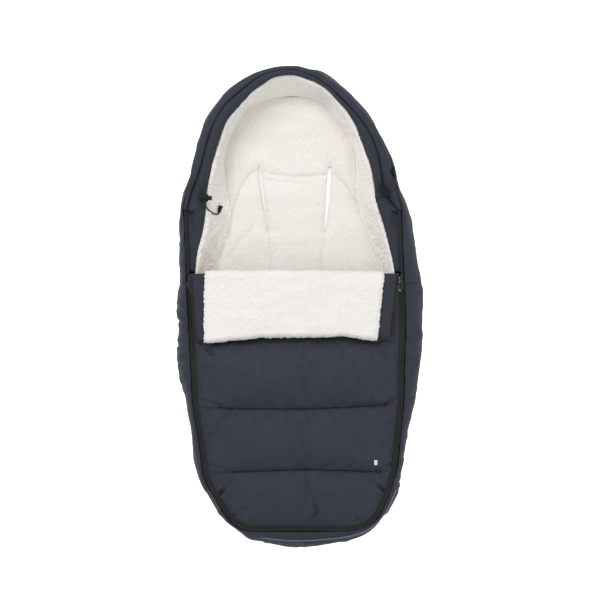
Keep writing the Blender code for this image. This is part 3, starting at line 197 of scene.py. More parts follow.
silhouette = smooth_line(in_plan(silhouette_shares), closed=True)
zip_line = smooth_line(in_plan(zip_shares))
outer_seam = smooth_line(in_plan(outer_seam_shares))
band_seam = smooth_line(in_plan(band_seam_shares))
fleece_edge = smooth_line(in_plan(fleece_edge_shares))
crease = smooth_line(in_plan(crease_shares), closed=True)


class Ray:
    """A level line from the spine outwards, which meets the plan lines at distances from its start."""

    def __init__(self, x, y, angle, in_hood):
        self.start = (x, y)
        self.angle = angle
        self.along = (math.cos(angle), math.sin(angle))
        self.in_hood = in_hood

    def reach(self, line):
        found = []
        for (ax, ay), (bx, by) in zip(line, line[1:]):
            ex, ey = bx - ax, by - ay
            cross = self.along[0] * ey - self.along[1] * ex
            if not cross:
                continue
            dx, dy = ax - self.start[0], ay - self.start[1]
            distance = (dx * ey - dy * ex) / cross
            share = (dx * self.along[1] - dy * self.along[0]) / cross
            if distance > 0 and -1e-6 <= share <= 1 + 1e-6:
                found.append(distance)
        return max(found)

    def point(self, distance, height):
        return (self.start[0] + self.along[0] * distance,
                self.start[1] + self.along[1] * distance, height)

    def y_at(self, distance):
        return self.start[1] + self.along[1] * distance


def row(share, side):
    return Ray(0.0, half_length * share, 0.0 if side > 0 else math.pi, share > hood_share)


def head_ray(angle):
    return Ray(0.0, half_length * head_centre_share, angle, True)


def foot_ray(angle):
    return Ray(0.0, half_length * foot_centre_share, angle, False)


def rim_at(y):
    """Height of the top of the zip tape, at one place or many."""
    share = (y / half_length - rim_start_share) / (rim_end_share - rim_start_share)
    return blend(foot_rim_height, rim_height, eased(share))


def head_share(ray):
    """Nought at the ends of the hood, one over the top of the head."""
    return ease(math.sin(ray.angle) * 1.15) if ray.in_hood else 0.0


def arc(centre, across, height, start_degrees, end_degrees, steps):
    """Points of an ellipse in a section, as distance along the ray and height."""
    points = []
    for k in range(steps + 1):
        angle = math.radians(blend(start_degrees, end_degrees, k / steps))
        points.append((centre[0] + across * math.cos(angle), centre[1] + height * math.sin(angle)))
    return points


# Back of the sack: layers lying on the ground, with two harness slots through them
floor_height = shell_thickness + gap + back_padding_thickness + gap + back_fleece_thickness
slot_ends_shares = {
    "left": ((-0.335, 0.592), (-0.262, 0.325)),
    "right": ((0.245, 0.592), (0.206, 0.325)),
}

# Wall of the sack
wall_arc_steps = 10
lining_steps = 26
lining_bend_share = 0.6
lining_drop = 0.0016
leg_lining_inset = 0.001
wall_least = 0.009
band_steps = 8
band_puff_share = 0.2
channel_steps = 12
facing_valley_degrees = 60


def mid_height(ray):
    return blend(side_height, head_side_height, head_share(ray))


def gusset_line(ray):
    """Outer face of the wall, from the base seam round the side to the seam or zip above it."""
    side = ray.reach(silhouette)
    if ray.in_hood:
        edge = ray.reach(outer_seam)
        top = blend(rim_height + edge_lift + shell_thickness, outer_seam_height, head_share(ray))
    else:
        edge = ray.reach(zip_line) + tape_shown
        top = rim_at(ray.y_at(edge)) + edge_lift + shell_thickness
    middle = mid_height(ray)
    lower = arc((side - tuck_width, middle), tuck_width, middle, -90, 0, wall_arc_steps)
    upper = arc((edge, middle), side - edge, top - middle, 0, 90, wall_arc_steps)
    return lower + upper[1:]


def hood_line(ray):
    """Outer face of the hood, from the base seam over the band and the drawcord channel."""
    line = gusset_line(ray)
    edge, top = line[-1]
    seam = ray.reach(band_seam)
    crest = blend(rim_height, crest_seam_height, head_share(ray))
    across, rise = seam - edge, crest - top
    for k in range(1, band_steps + 1):
        share = k / band_steps
        puff = band_puff_share * (1 - (2 * share - 1) ** 2)
        line.append((edge + across * share + rise * puff, top + rise * share - across * puff))
    return line + channel_arc(seam, ray.reach(fleece_edge), crest, channel_rise, channel_valley_degrees)


def channel_arc(outer, inner, height, rise, valley_degrees):
    """Roll of fabric between a seam and an inner edge, without its first point."""
    valley = math.radians(valley_degrees)
    reach = (outer - inner) / (1 + math.cos(valley))
    centre = (inner + reach, height - rise * math.sin(valley))
    return arc(centre, reach, rise, valley_degrees, 180, channel_steps)[1:]


def facing_line(ray):
    """Upper face of the strip between the zip and the fleece, which starts under the zip tape."""
    teeth = ray.reach(zip_line)
    height = rim_at(ray.y_at(teeth)) - facing_drop
    roll = channel_arc(teeth, ray.reach(fleece_edge), height, facing_rise, facing_valley_degrees)
    return [(teeth + facing_tuck, height), (teeth, height)] + roll


def lining_top(ray):
    """Where the lining of the wall starts, under the edge of the channel, the facing or the zip."""
    if ray.in_hood:
        inner, height = hood_line(ray)[-1]
        return inner, height - lining_drop
    teeth = ray.reach(zip_line)
    if ray.start[1] >= half_length * fold_share - gap / 2:
        inner, height = facing_line(ray)[-1]
        return inner, height - lining_drop
    inner = min(teeth + leg_lining_inset, ray.reach(silhouette) - wall_least)
    return inner, rim_at(ray.y_at(inner)) - facing_drop - shell_thickness


def lining_face(ray):
    inner, height = lining_top(ray)
    foot = ray.reach(crease)
    face = []
    for k in range(lining_steps + 1):
        share = k / lining_steps
        drop_share = blend(share, ease(share), lining_bend_share)
        face.append((blend(inner, foot, share), blend(height, floor_height, drop_share)))
    return face


# Cover
hinge_y = min(y for x, y in zip_line)
fold_y = half_length * fold_share
cover_length = fold_y - hinge_y
cover_top_rise = 0.017
cover_leg_rise = 0.027
cover_slope_width = 0.075
cover_padding_thickness = 0.0095
cover_lining_slope_width = 0.050
cover_inner_inset = 0.0135
seam_depth = 0.010
quilt_puff = 0.005
hem_dip = 0.0095
cuff_hem_row_share = 0.745
hem_line_y = hinge_y + cover_length * cuff_hem_row_share
leg_rise_start_share = 0.66
tag_width, tag_length = 0.0063, 0.0099
tag_shares = (0.605, -0.637)


def side_normals(path):
    """Level directions to the left of the path at each point."""
    normals = []
    for k in range(len(path)):
        (ax, ay), (bx, by) = path[max(k - 1, 0)], path[min(k + 1, len(path) - 1)]
        length = math.hypot(bx - ax, by - ay)
        normals.append((-(by - ay) / length, (bx - ax) / length))
    return normals


def below(path, limit):
    """The middle stretch of the path that lies under a height in plan."""
    kept = []
    for (ax, ay), (bx, by) in zip(path, path[1:]):
        if ay <= limit:
            kept.append((ax, ay))
        if (ay - limit) * (by - limit) < 0:
            kept.append((blend(ax, bx, (limit - ay) / (by - ay)), limit))
    return kept


def zip_inset(amount):
    return [(x + nx * amount, y + ny * amount) for (x, y), (nx, ny) in zip(zip_line, side_normals(zip_line))]


def crossings(line, y):
    """Leftmost and rightmost places where a line in plan crosses a row."""
    found = [blend(ax, bx, (y - ay) / (by - ay)) for (ax, ay), (bx, by) in zip(line, line[1:])
             if (ay - y) * (by - y) <= 0 and ay != by]
    return min(found), max(found)


# Cuff: the top of the cover folded back on it
cuff_base = rim_height + cover_top_rise + gap / 2
facing_overlap = 0.004
cuff_corner_shares = {"left": (-0.871, -0.843), "right": (0.786, 0.730)}
fleece_side_shares = {"left": (-0.766, -0.774), "right": (0.677, 0.625)}
cuff_hem_shares = [(0.0, -0.134), (0.1, -0.137), (0.35, -0.115), (0.75, -0.113), (0.9, -0.129), (1.0, -0.127)]


def hem_y(share):
    """Lower edge of the cuff at a share of its width."""
    for (a, low), (b, high) in zip(cuff_hem_shares, cuff_hem_shares[1:]):
        if share <= b:
            return half_length * blend(low, high, (share - a) / (b - a))
    return half_length * cuff_hem_shares[-1][1]


def cuff_edge(side, row_share):
    return half_width * blend(*cuff_corner_shares[side], row_share)


def fleece_side(side, row_share):
    return half_width * blend(*fleece_side_shares[side], row_share)


# Seams that cross the cover and the back, as places in the photographed plan
plan_centre_x, plan_centre_y = 300, 307
plan_scale = 0.002


def from_plan(points):
    return [((x - plan_centre_x) * plan_scale, (plan_centre_y - y) * plan_scale) for x, y in points]


upper_quilt_seam = from_plan([(176, 405.5), (205, 405.9), (260, 406.8), (305, 407), (350, 405), (390, 402.5),
                              (424, 401)])
lower_quilt_seam = from_plan([(176, 471.5), (208, 470.6), (260, 468.5), (305, 467), (350, 468.3), (386, 469.7),
                              (424, 470)])
back_cross_seam = from_plan([(255, 168), (261, 169), (277, 172), (293.6, 174), (310, 173.6), (326.5, 172),
                             (336, 171)])
back_faint_seam = from_plan([(261, 176), (276, 178), (292, 179), (309, 181)])
back_left_arc = from_plan([(255, 168), (248, 173), (243, 180), (235.6, 195), (231.5, 210), (230, 224),
                           (226, 237), (220, 250), (217, 261), (216, 272), (214, 300)])
back_right_arc = from_plan([(336, 172), (344, 180), (350, 188), (359, 203), (364.5, 214), (369, 226),
                            (376, 237), (381, 246), (385, 258), (387, 272), (388, 300)])
left_slot_tail = from_plan([(267.5, 230), (270, 246), (270, 270), (269, 300)])
right_slot_tail = from_plan([(325, 230), (322, 250), (319.8, 270), (319, 300)])
back_fold = from_plan([(253, 226), (240, 238), (228, 255)])


# Surfaces
def polyline_distance(x, y, line):
    """Distance in plan from each place to a line."""
    best = np.full(np.shape(x), 1e9)
    for (ax, ay), (bx, by) in zip(line, line[1:]):
        ex, ey = bx - ax, by - ay
        share = np.clip(((x - ax) * ex + (y - ay) * ey) / (ex * ex + ey * ey + 1e-18), 0, 1)
        best = np.minimum(best, np.hypot(x - ax - share * ex, y - ay - share * ey))
    return best


def nearest(x, y, lines):
    """Distance in plan from each place to the nearest of some lines."""
    return np.minimum.reduce([polyline_distance(x, y, line) for line in lines])


def eased(share):
    share = np.clip(share, 0, 1)
    return share * share * (3 - 2 * share)


def grid_normals(grid, flip=False):
    normals = np.cross(np.gradient(grid, axis=0), np.gradient(grid, axis=1))
    normals /= np.linalg.norm(normals, axis=2, keepdims=True) + 1e-12
    return -normals if flip else normals


def bell(away, width):
    """One at nought, and falling off to both sides within about the width."""
    return np.exp(-(away / width) ** 2)


def pushed_out(grid, depth, flip=False):
    """Moves a grid along its normals by a depth at each place."""
    return grid + grid_normals(grid, flip) * depth[..., None]


def travelled(path):
    """Length of a path up to each of its points."""
    return np.concatenate([[0], np.cumsum(np.linalg.norm(np.diff(path, axis=0), axis=1))])


def read_at(place, lengths, values):
    """Point or normal of a path at a length along it."""
    return np.array([np.interp(place, lengths, values[:, k]) for k in range(3)])


def refined(grid):
    """Doubles the rows and columns of a grid along smooth curves."""
    for axis in (0, 1):
        rows = np.moveaxis(grid, axis, 0)
        padded = np.concatenate([2 * rows[:1] - rows[1:2], rows, 2 * rows[-1:] - rows[-2:-1]])
        middles = (9 * (padded[1:-2] + padded[2:-1]) - padded[:-3] - padded[3:]) / 16
        finer = np.empty((2 * len(rows) - 1, *rows.shape[1:]))
        finer[::2], finer[1::2] = rows, middles
        grid = np.moveaxis(finer, 0, axis)
    return grid


def swells(grid, size, seed, depth=2):
    """Smooth noise with features of the given size in metres."""
    flat = grid.reshape(-1, 3) / size + seed * 7.31
    values = [noise.fractal(Vector(p), 1.0, 2.0, depth) for p in flat]
    return np.array(values).reshape(grid.shape[:-1])


def tufts(grid, size, seed):
    """Rounded clumps of pile of the given size in metres."""
    flat = grid.reshape(-1, 3) / size + seed * 3.17
    values = [0.45 - noise.voronoi(Vector(p))[0][0] for p in flat]
    return np.array(values).reshape(grid.shape[:-1])


def creases(grid, folds):
    """Depth of drawn folds: each is two places in the photographed plan, a width and a depth."""
    depth = np.zeros(grid.shape[:-1])
    for ends, width, deep in folds:
        away = polyline_distance(grid[..., 0], grid[..., 1], from_plan(ends))
        depth += deep * (bell(away, width) - 0.45 * bell(away - 1.9 * width, width))
    return depth


def added(name, data):
    """New object in the scene, holding a mesh, a curve or a light."""
    obj = bpy.data.objects.new(name, data)
    bpy.context.scene.collection.objects.link(obj)
    return obj


def mesh_object(name, verts, faces):
    data = bpy.data.meshes.new(name)
    data.from_pydata(verts, [], faces)
    return added(name, data)


def grid_mesh(name, grid, thickness=0.0015, flip=False, back=None):
    """Closed sheet with its face on a grid of points, with UVs in metres."""
    n, m = grid.shape[:2]
    normals = grid_normals(grid, flip)
    behind = grid - normals * thickness if back is None else back
    index = np.arange(n * m).reshape(n, m)
    a, b, c, d = index[:-1, :-1], index[1:, :-1], index[1:, 1:], index[:-1, 1:]
    front = np.stack([a, b, c, d], -1).reshape(-1, 4)
    rim = np.concatenate([index[:-1, 0], index[-1, :-1], index[:0:-1, -1], index[0, :0:-1]])
    rim_next = np.roll(rim, -1)
    sides = np.stack([rim, rim + n * m, rim_next + n * m, rim_next], -1)
    if flip:
        front, sides = front[:, ::-1], sides[:, ::-1]
    faces = np.concatenate([front, front[:, ::-1] + n * m, sides])
    obj = mesh_object(name, np.concatenate([grid.reshape(-1, 3), behind.reshape(-1, 3)]).tolist(), faces.tolist())
    data = obj.data
    along = np.linalg.norm(np.diff(grid, axis=0), axis=2).mean(axis=1)
    across = np.linalg.norm(np.diff(grid, axis=1), axis=2)
    u = np.concatenate([[0], np.cumsum(along)])[:, None] + np.zeros((n, m))
    v = np.concatenate([np.zeros((n, 1)), np.cumsum(across, axis=1)], axis=1)
    uv = np.stack([u, v], -1).reshape(-1, 2)
    uv = np.concatenate([uv, uv])
    layer = data.uv_layers.new(name="UVMap")
    loops = np.empty(len(data.loops), np.int32)
    data.loops.foreach_get("vertex_index", loops)
    layer.data.foreach_set("uv", uv[loops].astype(np.float32).ravel())
    smooth = np.ones(len(faces), bool)
    smooth[2 * len(front):] = False
    data.polygons.foreach_set("use_smooth", smooth)
    return obj


def dress(obj, body, finish, slot, *nodes):
    """Gives a piece its finish and hides the nodes it stands for; a single body name ties it to that body, while a
    pair of bodies only bakes its place in.
    """
    obj.data.materials.append(finish)
    if isinstance(body, str):
        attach(obj, body)
    else:
        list(body)
        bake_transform(obj)
    if nodes:
        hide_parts(*nodes)
    return obj


# Materials
def shader_of(name, colour, roughness, metallic=0.0, sheen=0.0, specular=0.5):
    made = bpy.data.materials.new(name)
    made.use_nodes = True
    shader = made.node_tree.nodes["Principled BSDF"]
    for socket, value in (("Base Color", (*colour, 1.0)), ("Roughness", roughness), ("Metallic", metallic),
                          ("Sheen Weight", sheen), ("Sheen Roughness", 0.5), ("Specular IOR Level", specular)):
        shader.inputs[socket].default_value = value
    return made, made.node_tree, shader


def add_node(tree, kind, links=(), **settings):
    node = tree.nodes.new(kind)
    for key, value in settings.items():
        if hasattr(node, key):
            setattr(node, key, value)
        else:
            node.inputs[key.replace("_", " ")].default_value = value
    for socket, source in links:
        tree.links.new(source, node.inputs[socket])
    return node


def ramp(tree, share, *stops):
    """Colour that runs between two stops, each a position and a colour."""
    node = add_node(tree, "ShaderNodeValToRGB", [("Fac", share)])
    for element, (position, colour) in zip(node.color_ramp.elements, stops):
        element.position = position
        element.color = (*colour, 1)
    return node.outputs["Color"]


def vary(tree, shader, colour, low, high, size, coordinates, detail=3.0):
    """Lets the colour wander a little between two strengths."""
    spots = add_node(tree, "ShaderNodeTexNoise", [("Vector", coordinates)], Scale=1 / size, Detail=detail)
    darker, lighter = [c * low for c in colour], [min(c * high, 1) for c in colour]
    tones = ramp(tree, spots.outputs["Fac"], (0.3, darker), (0.7, lighter))
    tree.links.new(tones, shader.inputs["Base Color"])


def bump_chain(tree, shader, heights):
    """Stacks bumps: each is a height socket, a depth in metres and a strength."""
    normal = None
    for height, depth, strength in heights:
        links = [("Height", height)] + ([("Normal", normal)] if normal else [])
        bump = add_node(tree, "ShaderNodeBump", links, Distance=depth, Strength=strength)
        normal = bump.outputs["Normal"]
    tree.links.new(normal, shader.inputs["Normal"])


def woven(name, colour, roughness=0.6, pitch=0.0010, sheen=0.15, depth=0.00025, low=0.9, high=1.1):
    """Plain weave: two crossed sets of threads, on UVs in metres."""
    made, tree, shader = shader_of(name, colour, roughness, sheen=sheen, specular=0.28)
    place = add_node(tree, "ShaderNodeTexCoord")
    threads = []
    for direction in ("X", "Y"):
        wave = add_node(tree, "ShaderNodeTexWave", [("Vector", place.outputs["UV"])], bands_direction=direction,
                        Scale=0.314 / pitch, Distortion=0.6, Detail=1.0)
        threads.append(wave.outputs["Fac"])
    weave = add_node(tree, "ShaderNodeMath", enumerate(threads), operation="MULTIPLY")
    crumple = add_node(tree, "ShaderNodeTexNoise", [("Vector", place.outputs["Object"])], Scale=60.0, Detail=4.0)
    vary(tree, shader, colour, low, high, 0.02, place.outputs["Object"])
    bump_chain(tree, shader, [(crumple.outputs["Fac"], 0.0012, 0.35), (weave.outputs["Value"], depth, 0.5)])
    return made


def pile(name, colour, tuft=0.0040, depth=0.0022, strength=0.75, low=0.88, sewn=False, sheen=0.25):
    """Sherpa pile: clumps of curled fibre, with painted shade in the crevices between the clumps; sewn pieces are
    darker along their seams and take painted shade from the same attribute.
    """
    made, tree, shader = shader_of(name, colour, 0.95, sheen=sheen, specular=0.1)
    place = add_node(tree, "ShaderNodeTexCoord")
    at = place.outputs["Object"]
    warp = add_node(tree, "ShaderNodeTexNoise", [("Vector", at)], Scale=170.0, Detail=3.0)
    shift = add_node(tree, "ShaderNodeVectorMath", [(0, warp.outputs["Color"])], operation="SCALE", Scale=0.0045)
    moved = add_node(tree, "ShaderNodeVectorMath", [(0, at), (1, shift.outputs["Vector"])], operation="ADD")
    clumps = add_node(tree, "ShaderNodeTexVoronoi", [("Vector", moved.outputs["Vector"])], feature="SMOOTH_F1",
                      Scale=1 / tuft, Smoothness=0.5)
    lifted = add_node(tree, "ShaderNodeMath", [(1, clumps.outputs["Distance"])], operation="SUBTRACT")
    lifted.inputs[0].default_value = 1.0
    fibres = add_node(tree, "ShaderNodeTexNoise", [("Vector", at)], Scale=900.0, Detail=4.0)
    # Painted shade: the colour darkens towards the edge of each clump, in the crevices between clumps
    crevice_shade = ramp(tree, clumps.outputs["Distance"], (0.25, colour), (0.85, [c * low for c in colour]))
    stretched = add_node(tree, "ShaderNodeMapping", [("Vector", at)], Scale=(9.0, 42.0, 25.0))
    patches = add_node(tree, "ShaderNodeTexNoise", [("Vector", stretched.outputs["Vector"])], Scale=1.0, Detail=4.0)
    tone = ramp(tree, patches.outputs["Fac"], (0.3, (0.955, 0.94, 0.915)), (0.7, (1, 1, 1)))
    mixed = add_node(tree, "ShaderNodeMix", [("A", crevice_shade), ("B", tone)], data_type="RGBA", blend_type="MULTIPLY",
                     Factor=1.0)
    result = mixed.outputs["Result"]
    # A sewn piece mixes in a brown tint by its attribute: darker along its seams, and painted shade where the
    # attribute also carries it
    if sewn:
        seam_tint_and_shade = add_node(tree, "ShaderNodeAttribute", attribute_name="seam_tint_and_shade")
        tinted = add_node(tree, "ShaderNodeMix", [("Factor", seam_tint_and_shade.outputs["Fac"]), ("A", result)],
                          data_type="RGBA", blend_type="MIX", B=(0.56, 0.49, 0.43, 1))
        result = tinted.outputs["Result"]
    tree.links.new(result, shader.inputs["Base Color"])
    bump_chain(tree, shader, [(lifted.outputs["Value"], depth, strength), (fibres.outputs["Fac"], 0.0007, 0.5)])
    return made


def grained(name, colour, roughness, metallic=0.0, grain=0.0008, depth=0.0001, sheen=0.0, specular=0.5):
    """Moulded plastic, coated metal or thread with a fine grain."""
    made, tree, shader = shader_of(name, colour, roughness, metallic, sheen, specular)
    place = add_node(tree, "ShaderNodeTexCoord")
    speck = add_node(tree, "ShaderNodeTexNoise", [("Vector", place.outputs["Object"])], Scale=1 / grain, Detail=2.0)
    vary(tree, shader, colour, 0.85, 1.15, 0.006, place.outputs["Object"])
    bump_chain(tree, shader, [(speck.outputs["Fac"], depth, 0.4)])
    return made


def braided(name, colour):
    """Cord of strands that cross at a slant."""
    made, tree, shader = shader_of(name, colour, 0.8, sheen=0.2)
    place = add_node(tree, "ShaderNodeTexCoord")
    strands = []
    for turn in (0.8, -0.8):
        turned = add_node(tree, "ShaderNodeMapping", [("Vector", place.outputs["Object"])], Rotation=(turn,) * 3)
        wave = add_node(tree, "ShaderNodeTexWave", [("Vector", turned.outputs["Vector"])], Scale=330.0,
                        Distortion=0.0)
        strands.append(wave.outputs["Fac"])
    braid = add_node(tree, "ShaderNodeMath", enumerate(strands), operation="MAXIMUM")
    vary(tree, shader, colour, 0.8, 1.2, 0.004, place.outputs["Object"])
    bump_chain(tree, shader, [(braid.outputs["Value"], 0.0003, 0.6)])
    return made


navy = woven("navy_cloth", (0.0285, 0.0340, 0.0500), 0.60, sheen=0.07)
navy_smooth = woven("navy_lining_cloth", (0.0270, 0.0322, 0.0470), 0.64, pitch=0.0008, sheen=0.06)
fleece = pile("sherpa_fleece", (0.990, 0.962, 0.925), low=0.93, strength=0.7, sheen=0.7)
seam_and_shade_fleece = pile("sherpa_back", (0.945, 0.920, 0.885), low=0.93, strength=0.4, sewn=True)
cuff_fleece = pile("sherpa_cuff", (0.960, 0.942, 0.912), tuft=0.0034, depth=0.0018, strength=0.5, low=0.92)
tape_cloth = woven("zip_tape_cloth", (0.0165, 0.0175, 0.0160), 0.7, pitch=0.0007, sheen=0.1, low=0.8, high=1.2)
thread = grained("navy_thread", (0.019, 0.023, 0.033), 0.7, sheen=0.1)
nylon = grained("nylon_coil", (0.020, 0.021, 0.022), 0.45)
dark_metal = grained("dark_metal", (0.055, 0.056, 0.060), 0.38, 0.9, grain=0.0004)
dark_plastic = grained("dark_plastic", (0.006, 0.006, 0.007), 0.34, grain=0.0009, specular=0.25)
cord_cloth = braided("braided_cord", (0.012, 0.013, 0.015))
steel_wire = grained("steel_wire", (0.60, 0.60, 0.58), 0.3, 1.0)
piping_cloth = woven("piping_cloth", (0.16, 0.18, 0.21), 0.45, pitch=0.0006)
tag_cloth = woven("tag_cloth", (0.88, 0.88, 0.88), 0.5, pitch=0.0004, low=0.97, high=1.02)
wadding = pile("wadding", (0.80, 0.80, 0.78), tuft=0.012)

for finish, names in (
        (wadding, ("back_padding", "upper_wall_padding", "lower_wall_padding", "cover_padding", "cuff_padding")),
        (dark_metal, ("zip_slider_left", "zip_slider_right", "pull_tab_left", "pull_tab_right", "zip_stop_left",
                      "zip_stop_right", "eyelet_left", "eyelet_right")),
        (dark_plastic, ("cord_lock_left", "cord_lock_right", "lock_button_left", "lock_button_right",
                        "cord_end_left", "cord_end_right")),
        (cord_cloth, ("drawcord",)), (steel_wire, ("lock_spring_left", "lock_spring_right"))):
    for name in names:
        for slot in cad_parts[name].material_slots:
            slot.material = finish


# Springs of the locks, which in the real lock shorten as the buttons go in; here they are only copied and tied to the
# locks
for side, centre, outwards in (("left", (-0.1880, 0.2180, 0.0998), (1, 0, 0)),
                               ("right", (0.1680, 0.2310, 0.1018), (-0.5, 0.866025, 0))):
    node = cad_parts["lock_spring_" + side]
    spring = added("dressed_spring_" + side, node.data.copy())
    spring.matrix_world = node.matrix_world.copy()
    spring.data.materials.clear()
    dress(spring, "lock_" + side, steel_wire, "spring_steel", "lock_spring_" + side)
    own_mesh(spring)


# Stitches
def stitch_line(name, path, normals, body, finish, slot, pitch=0.0032, length=0.0024, radius=0.00026):
    """Row of short stitches lying on a surface."""
    path, normals = np.array(path, float), np.array(normals, float)
    at = travelled(path)
    centres = np.arange(pitch / 2, at[-1], pitch)
    verts, faces = [], []
    for centre in centres:
        ends = [read_at(end, at, path) for end in (centre - length / 2, centre + length / 2)]
        up = read_at(centre, at, normals)
        up /= np.linalg.norm(up) + 1e-12
        along = ends[1] - ends[0]
        along /= np.linalg.norm(along) + 1e-12
        side = np.cross(along, up)
        middle = (ends[0] + ends[1]) / 2 + up * radius * 0.6
        base = len(verts)
        verts += [ends[0] - up * radius * 0.5, ends[1] - up * radius * 0.5]
        for share in (-0.28, 0.28):
            spot = middle + along * length * share
            verts += [spot + side * radius, spot + up * radius, spot - side * radius, spot - up * radius]
        for k in range(4):
            n = (k + 1) % 4
            faces.append((base, base + 2 + n, base + 2 + k))
            faces.append((base + 2 + k, base + 2 + n, base + 6 + n, base + 6 + k))
            faces.append((base + 6 + k, base + 6 + n, base + 1))
    obj = mesh_object(name, [tuple(v) for v in verts], faces)
    obj.data.polygons.foreach_set("use_smooth", np.ones(len(faces), bool))
    return dress(obj, body, finish, slot)


# Rays round the sack
hood_y = half_length * hood_share
foot_centre_y = half_length * foot_centre_share


def side_rows(low, high, side, step=0.006):
    count = max(int(round((high - low) / step)), 1)
    return [row(blend(low, high, k / count) / half_length, side) for k in range(count)]


def upper_rays(low, step=0.006, turn=2.0):
    fan = [head_ray(math.radians(180 * k / round(180 / turn))) for k in range(round(180 / turn) + 1)]
    return side_rows(low, hood_y, 1, step) + fan + side_rows(low, hood_y, -1, step)[::-1]


def lower_rays(high, step=0.006, turn=2.5):
    count = round(180 / turn)
    fan = [foot_ray(math.pi * (1 + k / count)) for k in range(count + 1)]
    left = side_rows(foot_centre_y, high, -1, step)[1:] + [row(high / half_length, -1)]
    right = side_rows(foot_centre_y, high, 1, step)[1:] + [row(high / half_length, 1)]
    return left[::-1] + fan + right


def lofted(rays, line, first=0, last=None):
    return np.array([[ray.point(*spot) for spot in line(ray)[first:last]] for ray in rays])


# Gusset: the outer wall, slack and softly creased
gusset_folds = [
    (((189, 200), (184, 222), (181, 240)), 0.0035, 0.0045),
    (((197, 196), (189, 212), (187, 226)), 0.0035, 0.0040),
    (((178, 306), (186, 318)), 0.0040, 0.0035), (((177, 320), (187, 322)), 0.0035, 0.0030),
    (((178, 344), (188, 336)), 0.0040, 0.0035), (((180, 362), (190, 352)), 0.0045, 0.0030),
    (((183, 384), (191, 372)), 0.0050, 0.0025), (((407, 345), (417, 333)), 0.0045, 0.0030),
    (((404, 330), (414, 328)), 0.0035, 0.0025), (((407, 372), (418, 352)), 0.0050, 0.0025),
    (((402, 402), (414, 392)), 0.0050, 0.0022), (((392, 478), (402, 482)), 0.0045, 0.0020),
    (((386, 492), (398, 488)), 0.0045, 0.0018), (((404, 455), (408, 440)), 0.0050, 0.0025),
    (((398, 208), (401, 232)), 0.0040, 0.0040), (((385, 168), (397, 205)), 0.0040, 0.0030),
    (((240, 542), (300, 545)), 0.0060, 0.0025), (((350, 537), (385, 517)), 0.0060, 0.0025),
    (((250, 533), (262, 541)), 0.0040, 0.0020), (((208, 492), (218, 508)), 0.0050, 0.0025),
]
seam_y = half_length * gusset_seam_share


def gusset(name, rays, nodes, seed):
    """Length of the outer wall, puckered beside the cross seam."""
    grid = lofted(rays, gusset_line)
    up = np.linspace(0, 1, grid.shape[1])
    edge = np.minimum(eased(up / 0.25), eased((1 - up) / 0.08))
    depth = 0.0028 * swells(grid, 0.060, seed) + 0.0008 * swells(grid, 0.018, seed + 5)
    depth = depth - 0.9 * creases(grid, gusset_folds)
    ends = np.minimum(np.arange(grid.shape[0]), np.arange(grid.shape[0])[::-1])
    seam_away = grid[..., 1] - seam_y
    depth += 0.0009 * bell(seam_away, 0.02) * np.sin(grid[..., 2] * 420)
    depth -= 0.0016 * bell(seam_away, 0.0035)
    grid = pushed_out(grid, depth * edge[None, :] * np.clip(ends / 2, 0.2, 1)[:, None])
    obj = grid_mesh(name, grid)
    dress(obj, "sack", navy, "navy_shell", *nodes)
    return grid, obj


upper_grid, upper_piece = gusset("dressed_upper_gusset", upper_rays(seam_y + 0.0002, 0.005, 1.5),
                                 ("upper_gusset", "upper_wall_padding"), 1)
lower_grid, lower_piece = gusset("dressed_lower_gusset", lower_rays(seam_y - 0.0002, 0.005, 1.25),
                                 ("lower_gusset", "lower_wall_padding"), 2)

# Hood band and drawcord channel
def lapped(grid, by=0.0015, dive=0.0035):
    """Carries both ends of the hood a little way down past the end of the zip, and then in under the facing."""
    near, far = np.array([0, -by, -0.0004]), np.array([0, -2.5 * by, -dive])
    return np.concatenate([grid[:1] + far, grid[:1] + near, grid, grid[-1:] + near, grid[-1:] + far])


first_band = 2 * wall_arc_steps
first_channel = first_band + band_steps
turn_degrees = np.linspace(0, 180, 121)
hood_fan = [head_ray(math.radians(turn)) for turn in turn_degrees]
band_grid = lofted(hood_fan, hood_line, first_band, first_channel + 1)
band_share = np.linspace(0, 1, band_grid.shape[1])
band_depth = 0.0030 * np.sin(math.pi * band_share)[None, :] ** 0.7 + 0.0012 * swells(band_grid, 0.045, 3)
band_depth = band_depth + 0.0006 * swells(band_grid, 0.014, 4)
band_depth -= 0.0010 * (bell(band_share, 0.07) + bell(1 - band_share, 0.07))[None, :]
right_lock_x, right_lock_y, flat_reach = 0.172, 0.236, 0.028
beside_lock = np.hypot(band_grid[..., 0] - right_lock_x, band_grid[..., 1] - right_lock_y)
band_depth = band_depth * (1 - 0.9 * bell(beside_lock, flat_reach))
band_grid = lapped(pushed_out(band_grid, band_depth), 0.0004)
band = dress(grid_mesh("dressed_hood_band", band_grid), "sack", navy, "navy_shell", "hood_band")

channel_grid = lofted(hood_fan, hood_line, first_channel, None)
channel_share = np.linspace(0, 1, channel_grid.shape[1])
gathers = 0.25 + 0.75 * (bell(turn_degrees - 166, 14) + bell(turn_degrees - 10, 14))
run = travelled(channel_grid[:, 6])
ripple = np.sin(run / 0.0105 * math.tau + 1.6 * np.sin(run / 0.037)) * gathers
channel_depth = 0.00055 * ripple[:, None] * np.sin(math.pi * np.clip(channel_share, 0, 1))[None, :]
channel_depth = channel_depth + 0.0008 * swells(channel_grid, 0.030, 6)
channel_depth -= 0.0008 * bell(channel_share, 0.08)[None, :]
channel_grid = pushed_out(channel_grid, channel_depth)
# Its seam edge turns in under the band
channel_grid[:, 0] += 0.6 * (channel_grid[:, 0] - channel_grid[:, 1]) + np.array([0, 0, -0.0006])
channel_grid = lapped(channel_grid)
dress(grid_mesh("dressed_drawcord_channel", channel_grid), "sack", navy_smooth, "navy_lining", "drawcord_channel")

